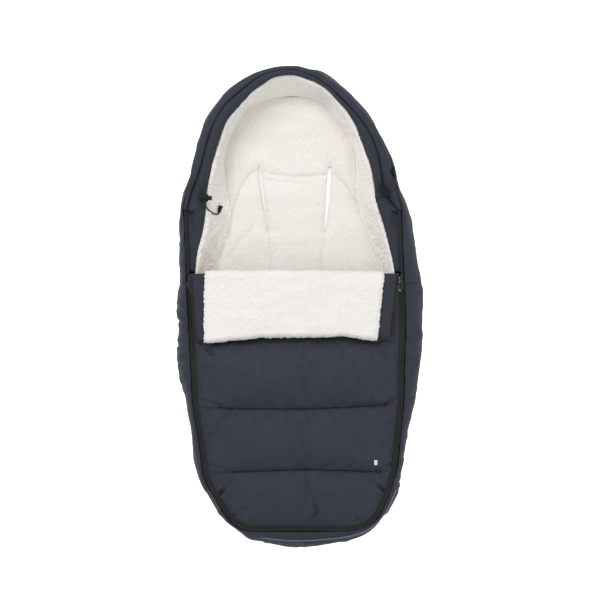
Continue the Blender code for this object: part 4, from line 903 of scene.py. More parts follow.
# Facings between the zip and the fleece, above the fold, which rise to meet the ends of the hood
joint_reach = 0.055
joint_y = hood_y - 0.0006
facing_foot_y = half_length * 0.1502
for name, side in (("left", -1), ("right", 1)):
    rows = [row(blend(facing_foot_y, joint_y, k / 20) / half_length, side) for k in range(21)]
    grid = lofted(rows, facing_line)
    flip = side < 0
    end = 2 if side > 0 else -3
    above = np.concatenate([band_grid[end], channel_grid[end]])
    order = np.argsort(above[:, 0])
    joined = np.interp(grid[..., 0], above[order, 0], above[order, 2]) - 0.0001
    nearness = eased((grid[..., 1] - (hood_y - joint_reach)) / joint_reach)
    beside_slider = eased((np.abs(grid[..., 0] - grid[:, 1:2, 0]) - 0.007) / 0.012)
    grid[..., 2] += (joined - grid[..., 2]) * nearness * beside_slider * (np.arange(grid.shape[1]) > 1)
    ripples = 0.0009 * swells(grid, 0.035, 8 + side) * np.clip(np.arange(grid.shape[1]) / 3, 0, 1)
    grid = pushed_out(grid, ripples, flip)
    grid = np.concatenate([grid, grid[-1:] + np.array([0, 0.0036, -0.0028])])
    dress(grid_mesh("dressed_facing_" + name, grid, 0.0012, flip), "sack", navy_smooth, "navy_lining",
          "facing_" + name)


# Fleece walls
def fleece_wall(name, rays, node, seed, lip):
    """Fleece from under the hood, the facings or the zip down to the crease round the back."""
    grid = lofted(rays, lining_face)
    share = np.linspace(0, 1, grid.shape[1])
    end = lining_top(head_ray(0))[1] - lining_top(row(joint_y / half_length, 1))[1]
    starts = np.array([ray.start[1] for ray in rays])
    raised = end * eased((starts - (hood_y - joint_reach)) / joint_reach) * (starts < hood_y)
    grid[..., 2] += raised[:, None] * (1 - share[None, :]) ** 2
    grid = refined(grid)
    share = np.linspace(0, 1, grid.shape[1])
    roll = lip * bell(share - 0.13, 0.12)
    foot = eased((1 - share) / 0.12)
    lumps = 0.0034 * swells(grid, 0.045, seed) + 0.0010 * swells(grid, 0.014, seed + 1)
    lumps = lumps + 0.0026 * tufts(grid, 0.0056, seed)
    grid = pushed_out(grid, roll[None, :] + lumps * foot[None, :])
    obj = dress(grid_mesh(name, grid, 0.003), "sack", fleece, "fleece", node)


linings_meet_y = fold_y - 0.004
fleece_wall("dressed_hood_lining", upper_rays(linings_meet_y, 0.0030, 0.9), "hood_lining", 11, 0.0032)
fleece_wall("dressed_leg_lining", lower_rays(linings_meet_y, 0.008, 4.0), "leg_lining", 12, 0.0)


# Fleece on the back, with its seams and the two harness slots
def back_rows(step, inset=0.0009):
    """Rows across the back as a place along it and their two ends."""
    low, high = min(y for x, y in crease), max(y for x, y in crease)
    count = int((high - low) / step)
    places = [low + inset + (high - low - 2 * inset) * k / (count - 1) for k in range(count)]
    return [(y, *crossings(crease, y)) for y in places]


back_columns = np.linspace(0, 1, 150)
back_grid = np.array([[(blend(left, right, s), y, floor_height) for s in back_columns]
                      for y, left, right in back_rows(0.0024)])
X, Y = back_grid[..., 0], back_grid[..., 1]
slot_lines = {side: in_plan(ends) for side, ends in slot_ends_shares.items()}
seam_away = nearest(X, Y, (back_cross_seam, back_left_arc, back_right_arc))
faint_away = nearest(X, Y, (back_faint_seam, left_slot_tail, right_slot_tail, back_fold))
slot_away = nearest(X, Y, slot_lines.values())
border_away = polyline_distance(X, Y, crease)
rise = 0.0052 * (1 - np.exp(-(seam_away / 0.009))) + 0.0016 * (1 - bell(faint_away, 0.008))
rise = rise * eased(border_away / 0.02) * (0.35 + 0.65 * (1 - bell(slot_away, 0.010)))
clumps = 0.0022 * swells(back_grid, 0.070, 14) + 0.0012 * tufts(back_grid, 0.0052, 15)
rise = rise + clumps * eased(border_away / 0.01)
back_grid[..., 2] += rise * eased(slot_away / 0.006)
back = grid_mesh("dressed_back_lining", back_grid, 0.0045, flip=True,
                 back=np.stack([X, Y, np.full(X.shape, floor_height - back_fleece_thickness)], -1))


def lens(ends, widths, points=9):
    """Outline of a slit that opens and closes along its length."""
    (ax, ay), (bx, by) = ends
    length = math.hypot(bx - ax, by - ay)
    nx, ny = -(by - ay) / length, (bx - ax) / length
    left, right = [], []
    for k in range(points):
        share = k / (points - 1)
        half = np.interp(share, [0, 0.15, 0.45, 0.8, 1], widths) / 2
        x, y = blend(ax, bx, share), blend(ay, by, share)
        left.append((x + nx * half, y + ny * half))
        right.append((x - nx * half, y - ny * half))
    return left + right[::-1]


def prism(name, outline, low, high):
    count = len(outline)
    verts = [(x, y, low) for x, y in outline] + [(x, y, high) for x, y in outline]
    sides = [(k, (k + 1) % count, (k + 1) % count + count, k + count) for k in range(count)]
    return mesh_object(name, verts, [tuple(range(count))[::-1], tuple(range(count, 2 * count))] + sides)


def area_sign(outline):
    return sum(ax * by - bx * ay for (ax, ay), (bx, by) in zip(outline, outline[1:] + outline[:1]))


slit_widths = {
    "left": [0.0018, 0.0038, 0.0034, 0.0018, 0.0008],
    "right": [0.0034, 0.0078, 0.0076, 0.0046, 0.0014],
}


def slit(obj, side, line, wider, low, high):
    """Cuts a harness slot through a piece, wider than the slot itself by the given amount."""
    outline = lens(line, [w + wider for w in slit_widths[side]])
    if area_sign(outline) < 0:
        outline = outline[::-1]
    cutter = prism("slit_cutter", outline, low, high)
    modifier = obj.modifiers.new("slit", "BOOLEAN")
    modifier.operation = "DIFFERENCE"
    modifier.solver = "EXACT"
    modifier.object = cutter
    bpy.context.view_layer.update()
    evaluated = obj.evaluated_get(bpy.context.evaluated_depsgraph_get())
    data = bpy.data.meshes.new_from_object(evaluated)
    obj.modifiers.clear()
    whole = obj.data
    obj.data = data
    bpy.data.meshes.remove(whole)
    bpy.data.objects.remove(cutter)


# Tint of the back: darker along the seams, the faint seam and the lines below the slots, with painted shade in the
# fold, along the crease where the back meets the wall (more towards the head) and round the slots
seam_tint_and_painted_shade = 0.42 * bell(seam_away, 0.0024) + 0.30 * bell(faint_away, 0.0022)
seam_tint_and_painted_shade += 0.25 * bell(border_away, 0.0060) * eased((Y - 0.02) / 0.2)
seam_tint_and_painted_shade += 0.30 * bell(slot_away, 0.003)
seam_tint_and_painted_shade *= 0.75 + 0.5 * swells(back_grid, 0.012, 17)
layer = back.data.attributes.new("seam_tint_and_shade", "FLOAT", "POINT")
layer.data.foreach_set("value", np.tile(np.clip(seam_tint_and_painted_shade, 0, 0.6).ravel(), 2).astype(np.float32))
for side, line in slot_lines.items():
    slit(back, side, line, 0.0024, -0.01, 0.05)
    inner = lens(line, slit_widths[side])
    outer = lens(line, [w + 0.0030 for w in slit_widths[side]])
    loop = []
    for (ix, iy), (ox, oy) in zip(inner, outer):
        mx, my = (ix + ox) / 2, (iy + oy) / 2
        loop.append([(ox, oy, 0.0012), (ox, oy, floor_height + 0.0002), (mx, my, floor_height + 0.0012),
                     (ix, iy, floor_height + 0.0004), (ix, iy, 0.0012), (mx, my, 0.0006)])
    loop.append(loop[0])
    ring = np.array([section + [section[0]] for section in loop])
    binding = grid_mesh("dressed_slot_binding_" + side, ring, 0.0003, flip=area_sign(inner) > 0)
    dress(binding, "sack", fleece, "navy_shell", "slot_binding_" + side)
dress(back, "sack", seam_and_shade_fleece, "fleece", "back_lining", "centre_back_lining")

# Back shell, seen from below, softly lifted, with the two slots
loop_rays = upper_rays(foot_centre_y, 0.012, 6.0) + lower_rays(foot_centre_y, 0.012, 6.0)[1:-1]
shares = np.linspace(0.0, 1.0, 30)
under = np.array([[ray.point((ray.reach(silhouette) - tuck_width) * s, 0.0004) for s in shares] for ray in loop_rays])
under = np.concatenate([under, under[:1]])
side_share = shares[None, :] + np.zeros(under.shape[:2])
lift = 0.0009 * (1 - side_share ** 6) * (0.5 + 0.5 * swells(under, 0.05, 21))
under[..., 2] = np.clip(0.0002 + lift, 0.0001, 0.0018)
shell = grid_mesh("dressed_back_shell", under, 0.0012)
for side, line in slot_lines.items():
    slit(shell, side, line, 0.0014, -0.02, 0.04)
dress(shell, "sack", navy, "navy_shell", "back_padding", *("back_shell_" + part for part in
      ("head", "left", "centre", "right", "foot")))


# Zip tapes and teeth, swept along the teeth line
zip_path = smooth_line(in_plan(zip_shares), steps=6)
sack_path = below(zip_path, hood_y - zip_end_clearance)
cover_path = below(zip_path, cover_tape_end)


def swept(path, profile):
    """Grid along a path in plan; the profile holds inward distances and heights from the rim."""
    grid = []
    for (x, y), (nx, ny) in zip(path, side_normals(path)):
        grid.append([(x + nx * inward, y + ny * inward, rim_at(y) + height) for inward, height in profile])
    return np.array(grid)


def tape(name, path, start, end, body, node):
    """Half of the zip tape, from beside the teeth to its own edge."""
    inwards = np.linspace(start, end, 9)
    share = np.abs(inwards - start) / abs(end - start)
    heights = -0.0005 * bell(share, 0.10) + 0.0002 * np.sin(share * math.pi)
    grid = swept(path, list(zip(inwards, heights)))
    flip = start > end
    grid = pushed_out(grid, 0.00025 * swells(grid, 0.02, 31), not flip)
    dress(grid_mesh(name, grid, 0.0009, flip=not flip), body, tape_cloth, "zip_tape", node)
    return grid


outer_edge = tape_shown - tape_edge_gap
sack_tape = tape("dressed_sack_zip_tape", sack_path, -teeth_gap / 2, -outer_edge, "sack", "sack_zip_tape")
cover_tape = tape("dressed_cover_zip_tape", cover_path, teeth_gap / 2, tape_width, "cover", "cover_zip_tape")


def teeth(name, path, side, body, node):
    """Loops of the nylon coil as small rounded teeth under the tape."""
    points = np.array([(x, y, rim_at(y) - coil_drop) for x, y in path])
    inwards = np.array([(nx * side, ny * side, 0) for nx, ny in side_normals(path)])
    at = travelled(points)
    verts, faces = [], []
    offset_by = 0.0 if side > 0 else 0.0009
    for centre in np.arange(0.001 + offset_by, at[-1] - 0.001, 0.0018):
        spot = read_at(centre, at, points)
        ahead = read_at(centre + 0.0005, at, points) - spot
        ahead /= np.linalg.norm(ahead)
        away = read_at(centre, at, inwards)
        away /= np.linalg.norm(away)
        up = np.array([0, 0, 1.0])
        base = len(verts)
        for a, n, h in ((-0.00045, 0.0003, 0.0005), (0.00045, 0.0003, 0.0005), (0.00045, 0.0021, 0.0005),
                        (-0.00045, 0.0021, 0.0005), (-0.0003, 0.0002, -0.0007), (0.0003, 0.0002, -0.0007),
                        (0.0003, 0.0019, -0.0007), (-0.0003, 0.0019, -0.0007)):
            verts.append(tuple(spot + ahead * a + away * n + up * h))
        for face in ((0, 1, 2, 3), (7, 6, 5, 4), (0, 4, 5, 1), (1, 5, 6, 2), (2, 6, 7, 3), (3, 7, 4, 0)):
            faces.append(tuple(base + k for k in face))
    return dress(mesh_object(name, verts, faces), body, nylon, "zip_coil", node)


teeth("dressed_sack_coil", sack_path, -1, "sack", "sack_zip_coil")
teeth("dressed_cover_coil", cover_path, 1, "cover", "cover_zip_coil")


# Cover
def across_share(x):
    left, right = cuff_edge("left", 0), cuff_edge("right", 0)
    return min(max((x - left) / (right - left), 0), 1)


def seam_at(line, x):
    return np.interp(x, [p[0] for p in line], [p[1] for p in line])


def cover_heights(x, y, away):
    """Heights of the cover at places in plan that lie some way from the zip: a crown, quilts and seams."""
    along = (y - hinge_y) / cover_length
    inside = np.clip((away - tape_shown) / cover_slope_width, 0, 1)
    crown = 1 - (1 - inside) ** 2.2
    edge = rim_at(y) + gap + shell_thickness
    cuff_rise = rim_height + cover_top_rise - gap / 2 - edge
    leg = 1 - eased((along - leg_rise_start_share) / (cuff_hem_row_share - leg_rise_start_share))
    rise = cuff_rise + (cover_leg_rise - cuff_rise) * leg
    lines = [np.full(np.shape(x), hinge_y), seam_at(lower_quilt_seam, x), seam_at(upper_quilt_seam, x),
             np.full(np.shape(x), hem_line_y)]
    for low, high in zip(lines, lines[1:]):
        share = np.clip((y - low) / (high - low), 0, 1)
        rise = rise + quilt_puff * np.sin(math.pi * share) ** 0.75
    hem = np.vectorize(lambda place: hem_y(across_share(place)))(x) - 0.003
    rise = rise - hem_dip * np.where(y < hem, np.exp((y - hem) / 0.0100), np.exp((hem - y) / 0.0070))
    for line in lines[1:3]:
        rise = rise - seam_depth * np.exp(-np.abs(y - line) / 0.0040)
    return edge + rise * crown


outer_line = zip_inset(tape_shown)
first_y = hinge_y + tape_shown + 0.0003
seam_means = [np.mean([y for x, y in line]) for line in (lower_quilt_seam, upper_quilt_seam)]
near_seam = (0.0, 0.0008, 0.0018, 0.0032, 0.0052, 0.0080)
row_places = [first_y + place for place in (0, 0.0012, 0.0028, 0.0048, 0.0075, 0.011, 0.015, 0.0195)]
while row_places[-1] < fold_y - 0.004:
    row_places.append(row_places[-1] + 0.0048)
row_places = [y for y in row_places if min(abs(y - mean) for mean in seam_means) > 0.0100]
row_places += [mean + sign * away for mean in seam_means for away in near_seam for sign in (-1, 1)] + [fold_y]
row_places += [hem_line_y + 0.0024 * k for k in range(-6, 8)]
row_places = sorted(set(round(y, 6) for y in row_places))
cover_columns = np.linspace(0, 1, 86)
cover_grid = []
for y in row_places:
    left, right = crossings(outer_line, y)
    line = []
    for s in cover_columns:
        x = blend(left, right, s)
        knots = [first_y, float(seam_at(lower_quilt_seam, x)), float(seam_at(upper_quilt_seam, x)), hem_line_y, 1]
        line.append((x, float(np.interp(y, [first_y, *seam_means, hem_line_y, 1], knots)), 0.0))
    cover_grid.append(line)
cover_grid = np.array(cover_grid)
cover_away = polyline_distance(cover_grid[..., 0], cover_grid[..., 1], zip_line)
cover_grid[..., 2] = cover_heights(cover_grid[..., 0], cover_grid[..., 1], cover_away)


def quilt_seams_away(grid):
    """Distance along the muff from each place to the nearer of the two quilting seams."""
    x, y = grid[..., 0], grid[..., 1]
    return np.minimum(np.abs(y - seam_at(lower_quilt_seam, x)), np.abs(y - seam_at(upper_quilt_seam, x)))


def puffed(grid, pinned, frames=20, pressure=3.0, shrink=-0.018, cap=0.008):
    """Blows the sheet up between its pinned seams as cloth, and returns its new places."""
    n, m = grid.shape[:2]
    index = np.arange(n * m).reshape(n, m)
    faces = np.stack([index[:-1, :-1], index[:-1, 1:], index[1:, 1:], index[1:, :-1]], -1).reshape(-1, 4)
    obj = mesh_object("cloth_sheet", grid.reshape(-1, 3).tolist(), faces.tolist())
    group = obj.vertex_groups.new(name="pinned")
    for weight in np.unique(pinned):
        if weight > 0:
            group.add(index[pinned == weight].ravel().tolist(), float(weight), "REPLACE")
    cloth = obj.modifiers.new("cloth", "CLOTH")
    for key, value in (("quality", 6), ("mass", 0.12), ("tension_stiffness", 12), ("compression_stiffness", 12),
                       ("shear_stiffness", 6), ("bending_stiffness", 0.4), ("vertex_group_mass", "pinned"),
                       ("use_pressure", True), ("uniform_pressure_force", pressure), ("shrink_min", shrink)):
        setattr(cloth.settings, key, value)
    cloth.settings.effector_weights.gravity = 0.0
    cloth.collision_settings.use_collision = False
    cloth.point_cache.frame_start = 1
    cloth.point_cache.frame_end = frames
    for step in range(1, frames + 1):
        bpy.context.scene.frame_set(step)
    evaluated = obj.evaluated_get(bpy.context.evaluated_depsgraph_get())
    places = np.empty(n * m * 3)
    evaluated.data.vertices.foreach_get("co", places)
    bpy.context.scene.frame_set(1)
    bpy.data.objects.remove(obj)
    moved = places.reshape(n, m, 3) - grid
    size = np.linalg.norm(moved, axis=2, keepdims=True)
    return grid + moved * np.minimum(1, cap / np.maximum(size, 1e-9))


flat_from_y = -0.066
pinned = np.zeros(cover_grid.shape[:2])
pinned[:1], pinned[-1:], pinned[:, :1], pinned[:, -1:] = 1, 1, 1, 1
pinned[quilt_seams_away(cover_grid) < 0.0030] = 1
pinned[cover_grid[..., 1] < first_y + 0.014] = 1
pinned[cover_grid[..., 1] > flat_from_y - 0.002] = 1
cover_grid = puffed(cover_grid, pinned)
cover_grid = refined(cover_grid)
cover_away = polyline_distance(cover_grid[..., 0], cover_grid[..., 1], zip_line)
cover_seam_away = quilt_seams_away(cover_grid)
cover_normals = grid_normals(cover_grid, True)
cover_folds = [
    (((216, 496), (223, 489), (232, 478)), 0.0042, 0.0030), (((216, 496), (223, 489)), 0.0032, 0.0030),
    (((384, 489), (371, 478)), 0.0042, 0.0028), (((384, 489), (379, 484)), 0.0034, 0.0030),
    (((307, 482), (313, 500), (317.6, 510), (309, 517)), 0.0050, 0.0020),
    (((314, 501), (317.6, 509), (313, 514)), 0.0032, 0.0026),
    (((225, 521), (238, 509), (246, 505)), 0.0040, 0.0022), (((361, 520), (352, 508)), 0.0040, 0.0018),
    (((205, 367), (216, 390)), 0.0060, 0.0026), (((209, 436), (231, 409)), 0.0050, 0.0028),
    (((202, 398), (222, 404)), 0.0040, 0.0030), (((398, 396), (384, 402)), 0.0040, 0.0030),
    (((206, 462), (228, 467)), 0.0040, 0.0030), (((394, 462), (376, 468)), 0.0040, 0.0030),
    (((226, 517), (243, 512)), 0.0040, 0.0022), (((352, 519), (373, 505)), 0.0040, 0.0022),
    (((199, 340), (214, 352)), 0.0045, 0.0030), (((388, 420), (372, 442)), 0.0060, 0.0012),
]
free = eased(cover_seam_away / 0.012) * eased(cover_away / 0.02)
detail = (0.0012 * swells(cover_grid, 0.055, 41) + 0.0003 * swells(cover_grid, 0.016, 42)) * free
edge_puckers = 0.0006 * np.sin(cover_grid[..., 0] * 260 + 3 * swells(cover_grid, 0.03, 43))
edge_puckers = edge_puckers * bell(cover_seam_away - 0.010, 0.008)
cover_detail = (detail + edge_puckers - creases(cover_grid, cover_folds)) * (cover_grid[..., 1] < flat_from_y)
cover_grid = cover_grid + cover_normals * cover_detail[..., None]
cover = grid_mesh("dressed_cover", cover_grid, 0.0012, flip=True)
dress(cover, "cover", navy, "navy_shell", "cover_shell", "cover_padding")

# Lining of the cover, seen when it is lifted
lining_rows = [0.0, 0.004, 0.010, 0.018] + [0.028 + 0.012 * k for k in range(39)]
lining_rows = [place for place in lining_rows if place < fold_y - first_y - 0.006] + [fold_y - first_y]
lining_grid = []
for place in lining_rows:
    left, right = crossings(outer_line, first_y + place)
    lining_grid.append([(blend(left, right, s), first_y + place, 0.0) for s in np.linspace(0, 1, 60)])
lining_grid = np.array(lining_grid)
X, Y = lining_grid[..., 0], lining_grid[..., 1]
lining_away = polyline_distance(X, Y, zip_line)
share = eased((lining_away - cover_inner_inset) / cover_lining_slope_width)
middle = cover_heights(X, Y, lining_away) - shell_thickness - 2 * gap - cover_padding_thickness
edge = rim_at(Y) - tape_thickness - gap
lining_grid[..., 2] = edge + (middle - edge) * share - fleece_thickness
lining_depth = 0.0016 * swells(lining_grid, 0.05, 45) + 0.0014 * tufts(lining_grid, 0.0058, 46)
lining_grid = pushed_out(lining_grid, lining_depth * eased(lining_away / 0.02))
dress(grid_mesh("dressed_cover_lining", lining_grid, 0.0035), "cover", fleece, "fleece", "cover_lining")

# Tag, left bare
tag_x, tag_y = half_width * tag_shares[0], half_length * tag_shares[1]
tag_grid = []
for j in range(7):
    line = []
    for i in range(6):
        x, y = tag_x + tag_width * (i / 5 - 0.5), tag_y + tag_length * (0.5 - j / 6)
        near = np.argsort(((cover_grid[..., 0] - x) ** 2 + (cover_grid[..., 1] - y) ** 2).ravel())[:6]
        lift = 0.0013 + 0.0008 * math.sin(math.pi * j / 6)
        line.append((x, y, cover_grid.reshape(-1, 3)[near, 2].mean() + lift))
    tag_grid.append(line)
tag_grid = np.array(tag_grid)
dress(grid_mesh("dressed_tag", tag_grid, 0.0005), "cover", tag_cloth, "white_tag", "label_tag")

# Cuff: the fleece rolls out of the cover over the fold and lies on it as a thick flap
def bent_rows(inside, bulge, low, high, steps):
    """Places along a turned edge as (y, z): in from the cover, round the bulge and back towards the foot."""
    rows = [(fold_y - inside * (1 - k / 3), low) for k in range(3)]
    middle, half = (low + high) / 2, (high - low) / 2
    for k in range(steps + 1):
        angle = math.radians(-90 + 180 * k / steps)
        rows.append((fold_y + bulge * math.cos(angle), middle + half * math.sin(angle)))
    return rows


cuff_bodies = ("cover", "cuff", (0, 0.066, 0.092), (0, 0.056, 0.1085))
fleece_top, fleece_low, fleece_bulge = 0.1155, 0.0885, 0.0090
hem_round, hem_low = 0.0075, 0.1045
bent = bent_rows(0.012, fleece_bulge, fleece_low, fleece_top, 14)
flat_steps = 74
rows = [(0.0, y, z, 0.0) for y, z in bent]
rows += [(k / flat_steps, None, fleece_top, 0.0) for k in range(1, flat_steps + 1)]
rows += [(1.0, None, fleece_top, k / 6) for k in range(1, 7)]
columns = np.linspace(0, 1, 220)
cuff_grid = np.zeros((len(rows), len(columns), 3))
for j, (row_share, y, z, turn) in enumerate(rows):
    left, right = fleece_side("left", row_share) + 0.0025, fleece_side("right", row_share) - 0.0020
    for i, s in enumerate(columns):
        x = blend(left, right, s)
        place_y, place_z = y, z
        if y is None:
            foot = hem_y(across_share(x)) + hem_round
            place_y = blend(fold_y, foot, row_share) - hem_round * math.sin(turn * math.pi / 2)
            place_z = z - (fleece_top - hem_low) * (1 - math.cos(turn * math.pi / 2))
        cuff_grid[j, i] = (x, place_y, place_z)
edge_in = np.minimum(columns, 1 - columns) * (fleece_side("right", 0) - fleece_side("left", 0))
drop = 0.0052 * bell(edge_in, 0.0045)
flatness = np.array([1.0 if y is None or z > 0.102 else 0.4 for _, y, z, _ in rows])
cuff_grid[..., 2] -= drop[None, :] * flatness[:, None]
plump = 0.0016 * swells(cuff_grid, 0.060, 51) + 0.0010 * swells(cuff_grid, 0.020, 52)
cuff_grid = pushed_out(cuff_grid, plump + 0.0015 * tufts(cuff_grid, 0.0040, 53), True)
ragged = 0.0034 * tufts(cuff_grid, 0.0055, 54) + 0.0014 * swells(cuff_grid, 0.014, 55)
near_side = bell(edge_in, 0.004)
cuff_grid[..., 0] += ragged * near_side[None, :] * np.where(columns < 0.5, -1, 1)[None, :]
cuff_grid[-9:, :, 1] -= ragged[-9:] * np.linspace(0.1, 1, 9)[:, None]
cuff_flap = grid_mesh("dressed_cuff_lining", cuff_grid, 0.0035, flip=True)
dress(cuff_flap, cuff_bodies, cuff_fleece, "fleece", "cuff_lining", "cuff_padding")

# Navy shell of the cuff, which lies on the cover
shell_rows = []
for k in range(24):
    row_share = k / 23
    line = []
    for i in range(60):
        x = blend(cuff_edge("left", row_share) + 0.004, cuff_edge("right", row_share) - 0.004, i / 59)
        foot = hem_y(across_share(x)) + 0.003
        line.append((x, blend(fold_y - 0.001, foot, row_share), cuff_base + 0.0016))
    shell_rows.append(line)
under_grid = np.array(shell_rows)
under_grid[..., 2] += 0.0005 * swells(under_grid, 0.03, 57)
dress(grid_mesh("dressed_cuff_shell", under_grid, 0.0012, flip=True), "cuff", navy, "navy_shell", "cuff_shell")

# Navy strips of the cuff with the loose halves of the zip at their outer edges
strip_top, strip_low, strip_bulge = 0.1088, 0.0895, 0.0065
strip_bent = bent_rows(0.008, strip_bulge, strip_low, strip_top, 10)


def droop(side, x, row_share):
    """How far the outer edge of the cuff hangs down."""
    away = abs(x - cuff_edge(side, row_share))
    return 0.0052 * math.exp(-(away / 0.011) ** 2)


def strip(name, side, start, end, rise, thickness, finish, slot, node, count, seed, hem_gap):
    """Flap between two distances from the outer edge of the cuff; without an end it runs in under the fleece."""
    sign = 1 if side == "left" else -1
    grid = []
    places = [(0.0, y, z) for y, z in strip_bent] + [(k / 34, None, strip_top) for k in range(1, 35)]
    for row_share, y, z in places:
        line = []
        fleece_away = abs(fleece_side(side, row_share) - cuff_edge(side, row_share))
        inner = fleece_away + facing_overlap if end is None else end
        for i in range(count):
            x = cuff_edge(side, row_share) + sign * blend(start, inner, i / (count - 1))
            place_y, place_z = y, z
            if y is None:
                foot = hem_y(across_share(x)) + hem_gap
                corner = (i / (count - 1)) if end is None else 1
                round_off = 0.0050 * (1 - corner) ** 2 if row_share > 0.9 else 0
                place_y = blend(fold_y, foot + round_off, row_share)
            hem_drop = 0.0035 * max(0, row_share - 0.94) / 0.06
            line.append((x, place_y, place_z + rise - droop(side, x, row_share) - hem_drop))
        grid.append(line)
    grid = np.array(grid)
    flip = side == "left"
    normals = grid_normals(grid, flip)
    if normals[-5, 2, 2] < 0:
        flip = not flip
        normals = -normals
    waves = 0.0011 * swells(grid, 0.028, seed) + 0.0004 * swells(grid, 0.010, seed + 1)
    grid = grid + normals * waves[..., None]
    dress(grid_mesh(name, grid, thickness, flip=flip), cuff_bodies, finish, slot, node)
    return grid, normals


for side, seed in (("left", 61), ("right", 65)):
    facing_grid, facing_normals = strip(
        "dressed_cuff_facing_" + side, side, tape_shown - 0.001, None, 0.0, 0.0028, navy_smooth, "navy_lining",
        "cuff_facing_" + side, 13, seed, 0.0015)
    strip("dressed_cuff_tape_" + side, side, -0.0015, tape_shown + 0.001, -0.0004, 0.0009, tape_cloth, "zip_tape",
          "cuff_zip_tape_" + side, 7, seed + 2, 0.004)
    sewn, upwards = facing_grid[len(strip_bent):, 1], facing_normals[len(strip_bent):, 1]
    stitch_line("cuff_stitches_" + side, sewn + upwards * 0.0001, upwards, "cuff", thread, "navy_lining")


# Stitches along seams, the zip and the hood
for name, grid, column, body, slot in (
        ("band", band_grid, 1, "sack", "navy_shell"), ("channel", channel_grid, 1, "sack", "navy_lining"),
        ("upper", upper_grid, -2, "sack", "navy_shell"), ("lower", lower_grid, -2, "sack", "navy_shell"),
        ("sack_tape", sack_tape, 6, "sack", "zip_tape"), ("cover_tape", cover_tape, 5, "cover", "zip_tape")):
    normals = grid_normals(grid, name == "sack_tape")
    stitch_line(name + "_stitches", grid[:, column], normals[:, column], body, thread, slot)
flat_places, flat_normals = cover_grid.reshape(-1, 3), cover_normals.reshape(-1, 3)
for name, line in (("lower", lower_quilt_seam), ("upper", upper_quilt_seam)):
    path, normals = [], []
    left, right = crossings(outer_line, line[3][1])
    for x in np.linspace(left + 0.004, right - 0.004, 70):
        y = float(seam_at(line, x))
        near = np.argsort((flat_places[:, 0] - x) ** 2 + (flat_places[:, 1] - y) ** 2)[:4]
        path.append((x, y, float(flat_places[near, 2].mean()) + 0.0002))
        normals.append(flat_normals[near].mean(axis=0))
    stitch_line("quilt_stitches_" + name, path, normals, "cover", thread, "navy_shell")


# Piping round the foot
def tube(name, kind, points, radius, resolution):
    """Round cord along a curve, closed at both ends."""
    curve = bpy.data.curves.new(name, "CURVE")
    curve.dimensions = "3D"
    curve.bevel_depth = radius
    curve.bevel_resolution = resolution
    curve.use_fill_caps = True
    spline = curve.splines.new(kind)
    spline.points.add(len(points) - 1)
    for point, spot in zip(spline.points, points):
        point.co = (*spot, 1)
    return added(name, curve)


piping_radius = 0.0012
piping_angle = math.radians(60)
clear = piping_radius + gap
piping_path = []
for k in range(7, 19):
    ray = foot_ray(math.pi * (1 + k / foot_fan_steps))
    side, edge = ray.reach(silhouette), ray.reach(zip_line) + tape_shown
    middle = mid_height(ray)
    high = rim_at(ray.y_at(edge)) + edge_lift + shell_thickness - middle
    away = edge + (side - edge + clear) * math.cos(piping_angle)
    piping_path.append(ray.point(away, middle + (high + clear) * math.sin(piping_angle)))
piping = tube("dressed_piping", "NURBS", piping_path, piping_radius, 3)
piping.data.splines[0].use_endpoint_u = True
piping.data.splines[0].order_u = 3
dress(piping, "sack", piping_cloth, "pale_piping", "reflective_piping")


# Free ends of the drawcord
cord_radius = 0.0015
cord_points = {
    "left": [
        (-0.1967, 0.2464, 0.0928), (-0.1967, 0.2463, 0.0962), (-0.1960, 0.2448, 0.0990), (-0.1940, 0.2412, 0.1008),
        (-0.1910, 0.2362, 0.1006), (-0.1888, 0.2332, 0.1000), (-0.1880, 0.2310, 0.0998), (-0.1880, 0.2250, 0.0998),
        (-0.1880, 0.2110, 0.0998), (-0.1878, 0.2080, 0.0996), (-0.1862, 0.2020, 0.0960), (-0.1830, 0.1965, 0.0860),
        (-0.1785, 0.1925, 0.0745), (-0.1735, 0.1893, 0.0645), (-0.1680, 0.1878, 0.0570), (-0.1640, 0.1885, 0.0530),
        (-0.1622, 0.1915, 0.0524), (-0.1610, 0.1955, 0.0520),
    ],
    "right": [
        (0.1573, 0.2246, 0.0901), (0.1561, 0.2245, 0.0934), (0.1551, 0.2243, 0.0966), (0.1559, 0.2246, 0.0998),
        (0.1585, 0.2256, 0.1016), (0.1615, 0.2272, 0.1018), (0.1680, 0.2310, 0.1018), (0.1741, 0.2345, 0.1018),
        (0.1795, 0.2378, 0.1018), (0.1838, 0.2415, 0.1010), (0.1872, 0.2470, 0.0982), (0.1892, 0.2535, 0.0945),
        (0.1893, 0.2595, 0.0925), (0.1875, 0.2645, 0.0932), (0.1858, 0.2676, 0.0944),
    ],
}
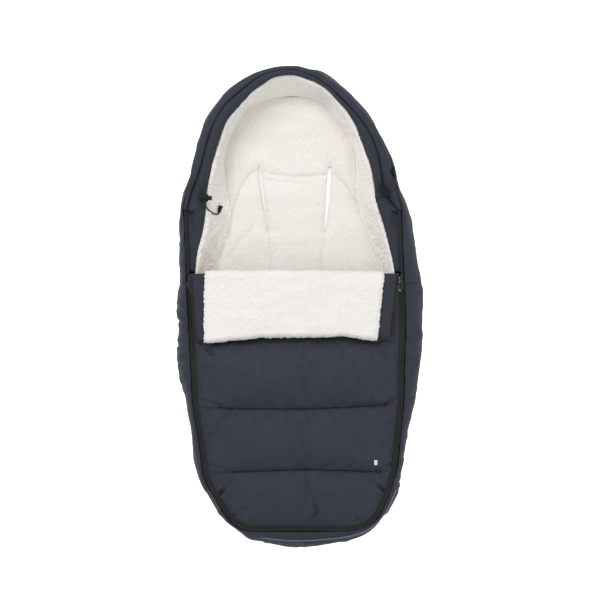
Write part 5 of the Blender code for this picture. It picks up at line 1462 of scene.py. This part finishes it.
for side, points in cord_points.items():
    path = smooth_line(points, steps=4)
    cord = tube("dressed_cord_" + side, "POLY", path, cord_radius, 4)
    dress(cord, "sack", cord_cloth, "cord", "free_cord_" + side)


# Stage, light and camera
floor_half, floor_z = 40.0, -0.0002
corners = [(x * floor_half, y * floor_half, floor_z) for x, y in ((-1, -1), (1, -1), (1, 1), (-1, 1))]
floor = mesh_object("floor", corners, [(0, 1, 2, 3)])
floor_finish = bpy.data.materials.new("floor_white")
floor_finish.use_nodes = True
tree = floor_finish.node_tree
tree.nodes.clear()
matte = add_node(tree, "ShaderNodeBsdfDiffuse", Color=(0.80, 0.80, 0.80, 1))
path_kind = add_node(tree, "ShaderNodeLightPath")
level = add_node(tree, "ShaderNodeMath", [(0, path_kind.outputs["Is Camera Ray"])], operation="MULTIPLY")
level.inputs[1].default_value = 0.92
glow = add_node(tree, "ShaderNodeEmission", [("Strength", level.outputs["Value"])], Color=(1, 1, 1, 1))
both = add_node(tree, "ShaderNodeAddShader", [(0, matte.outputs["BSDF"]), (1, glow.outputs["Emission"])])
add_node(tree, "ShaderNodeOutputMaterial", [("Surface", both.outputs["Shader"])])
floor.data.materials.append(floor_finish)

world = bpy.data.worlds.new("studio")
bpy.context.scene.world = world
world.use_nodes = True
background = world.node_tree.nodes["Background"]
background.inputs["Color"].default_value = (1, 1, 1, 1)
background.inputs["Strength"].default_value = 0.71


def area_light(name, place, size, power):
    """Square soft box turned to the middle of the muff."""
    data = bpy.data.lights.new(name, "AREA")
    data.shape = "SQUARE"
    data.size = size
    data.energy = power
    obj = added(name, data)
    obj.location = place
    obj.rotation_euler = (Vector((0, 0, 0.05)) - Vector(place)).to_track_quat("-Z", "Y").to_euler()


area_light("key", (-0.9, 1.6, 2.0), 1.0, 22)
area_light("fill", (1.7, -0.6, 1.8), 1.8, 7)

camera_data = bpy.data.cameras.new("camera")
camera_data.type = "PERSP"
camera_data.lens = 120
camera_data.sensor_width = 36
camera = added("camera", camera_data)
camera.location = (0, 0.016, 4.060)
bpy.context.scene.camera = camera
bpy.context.scene.view_settings.view_transform = "Standard"
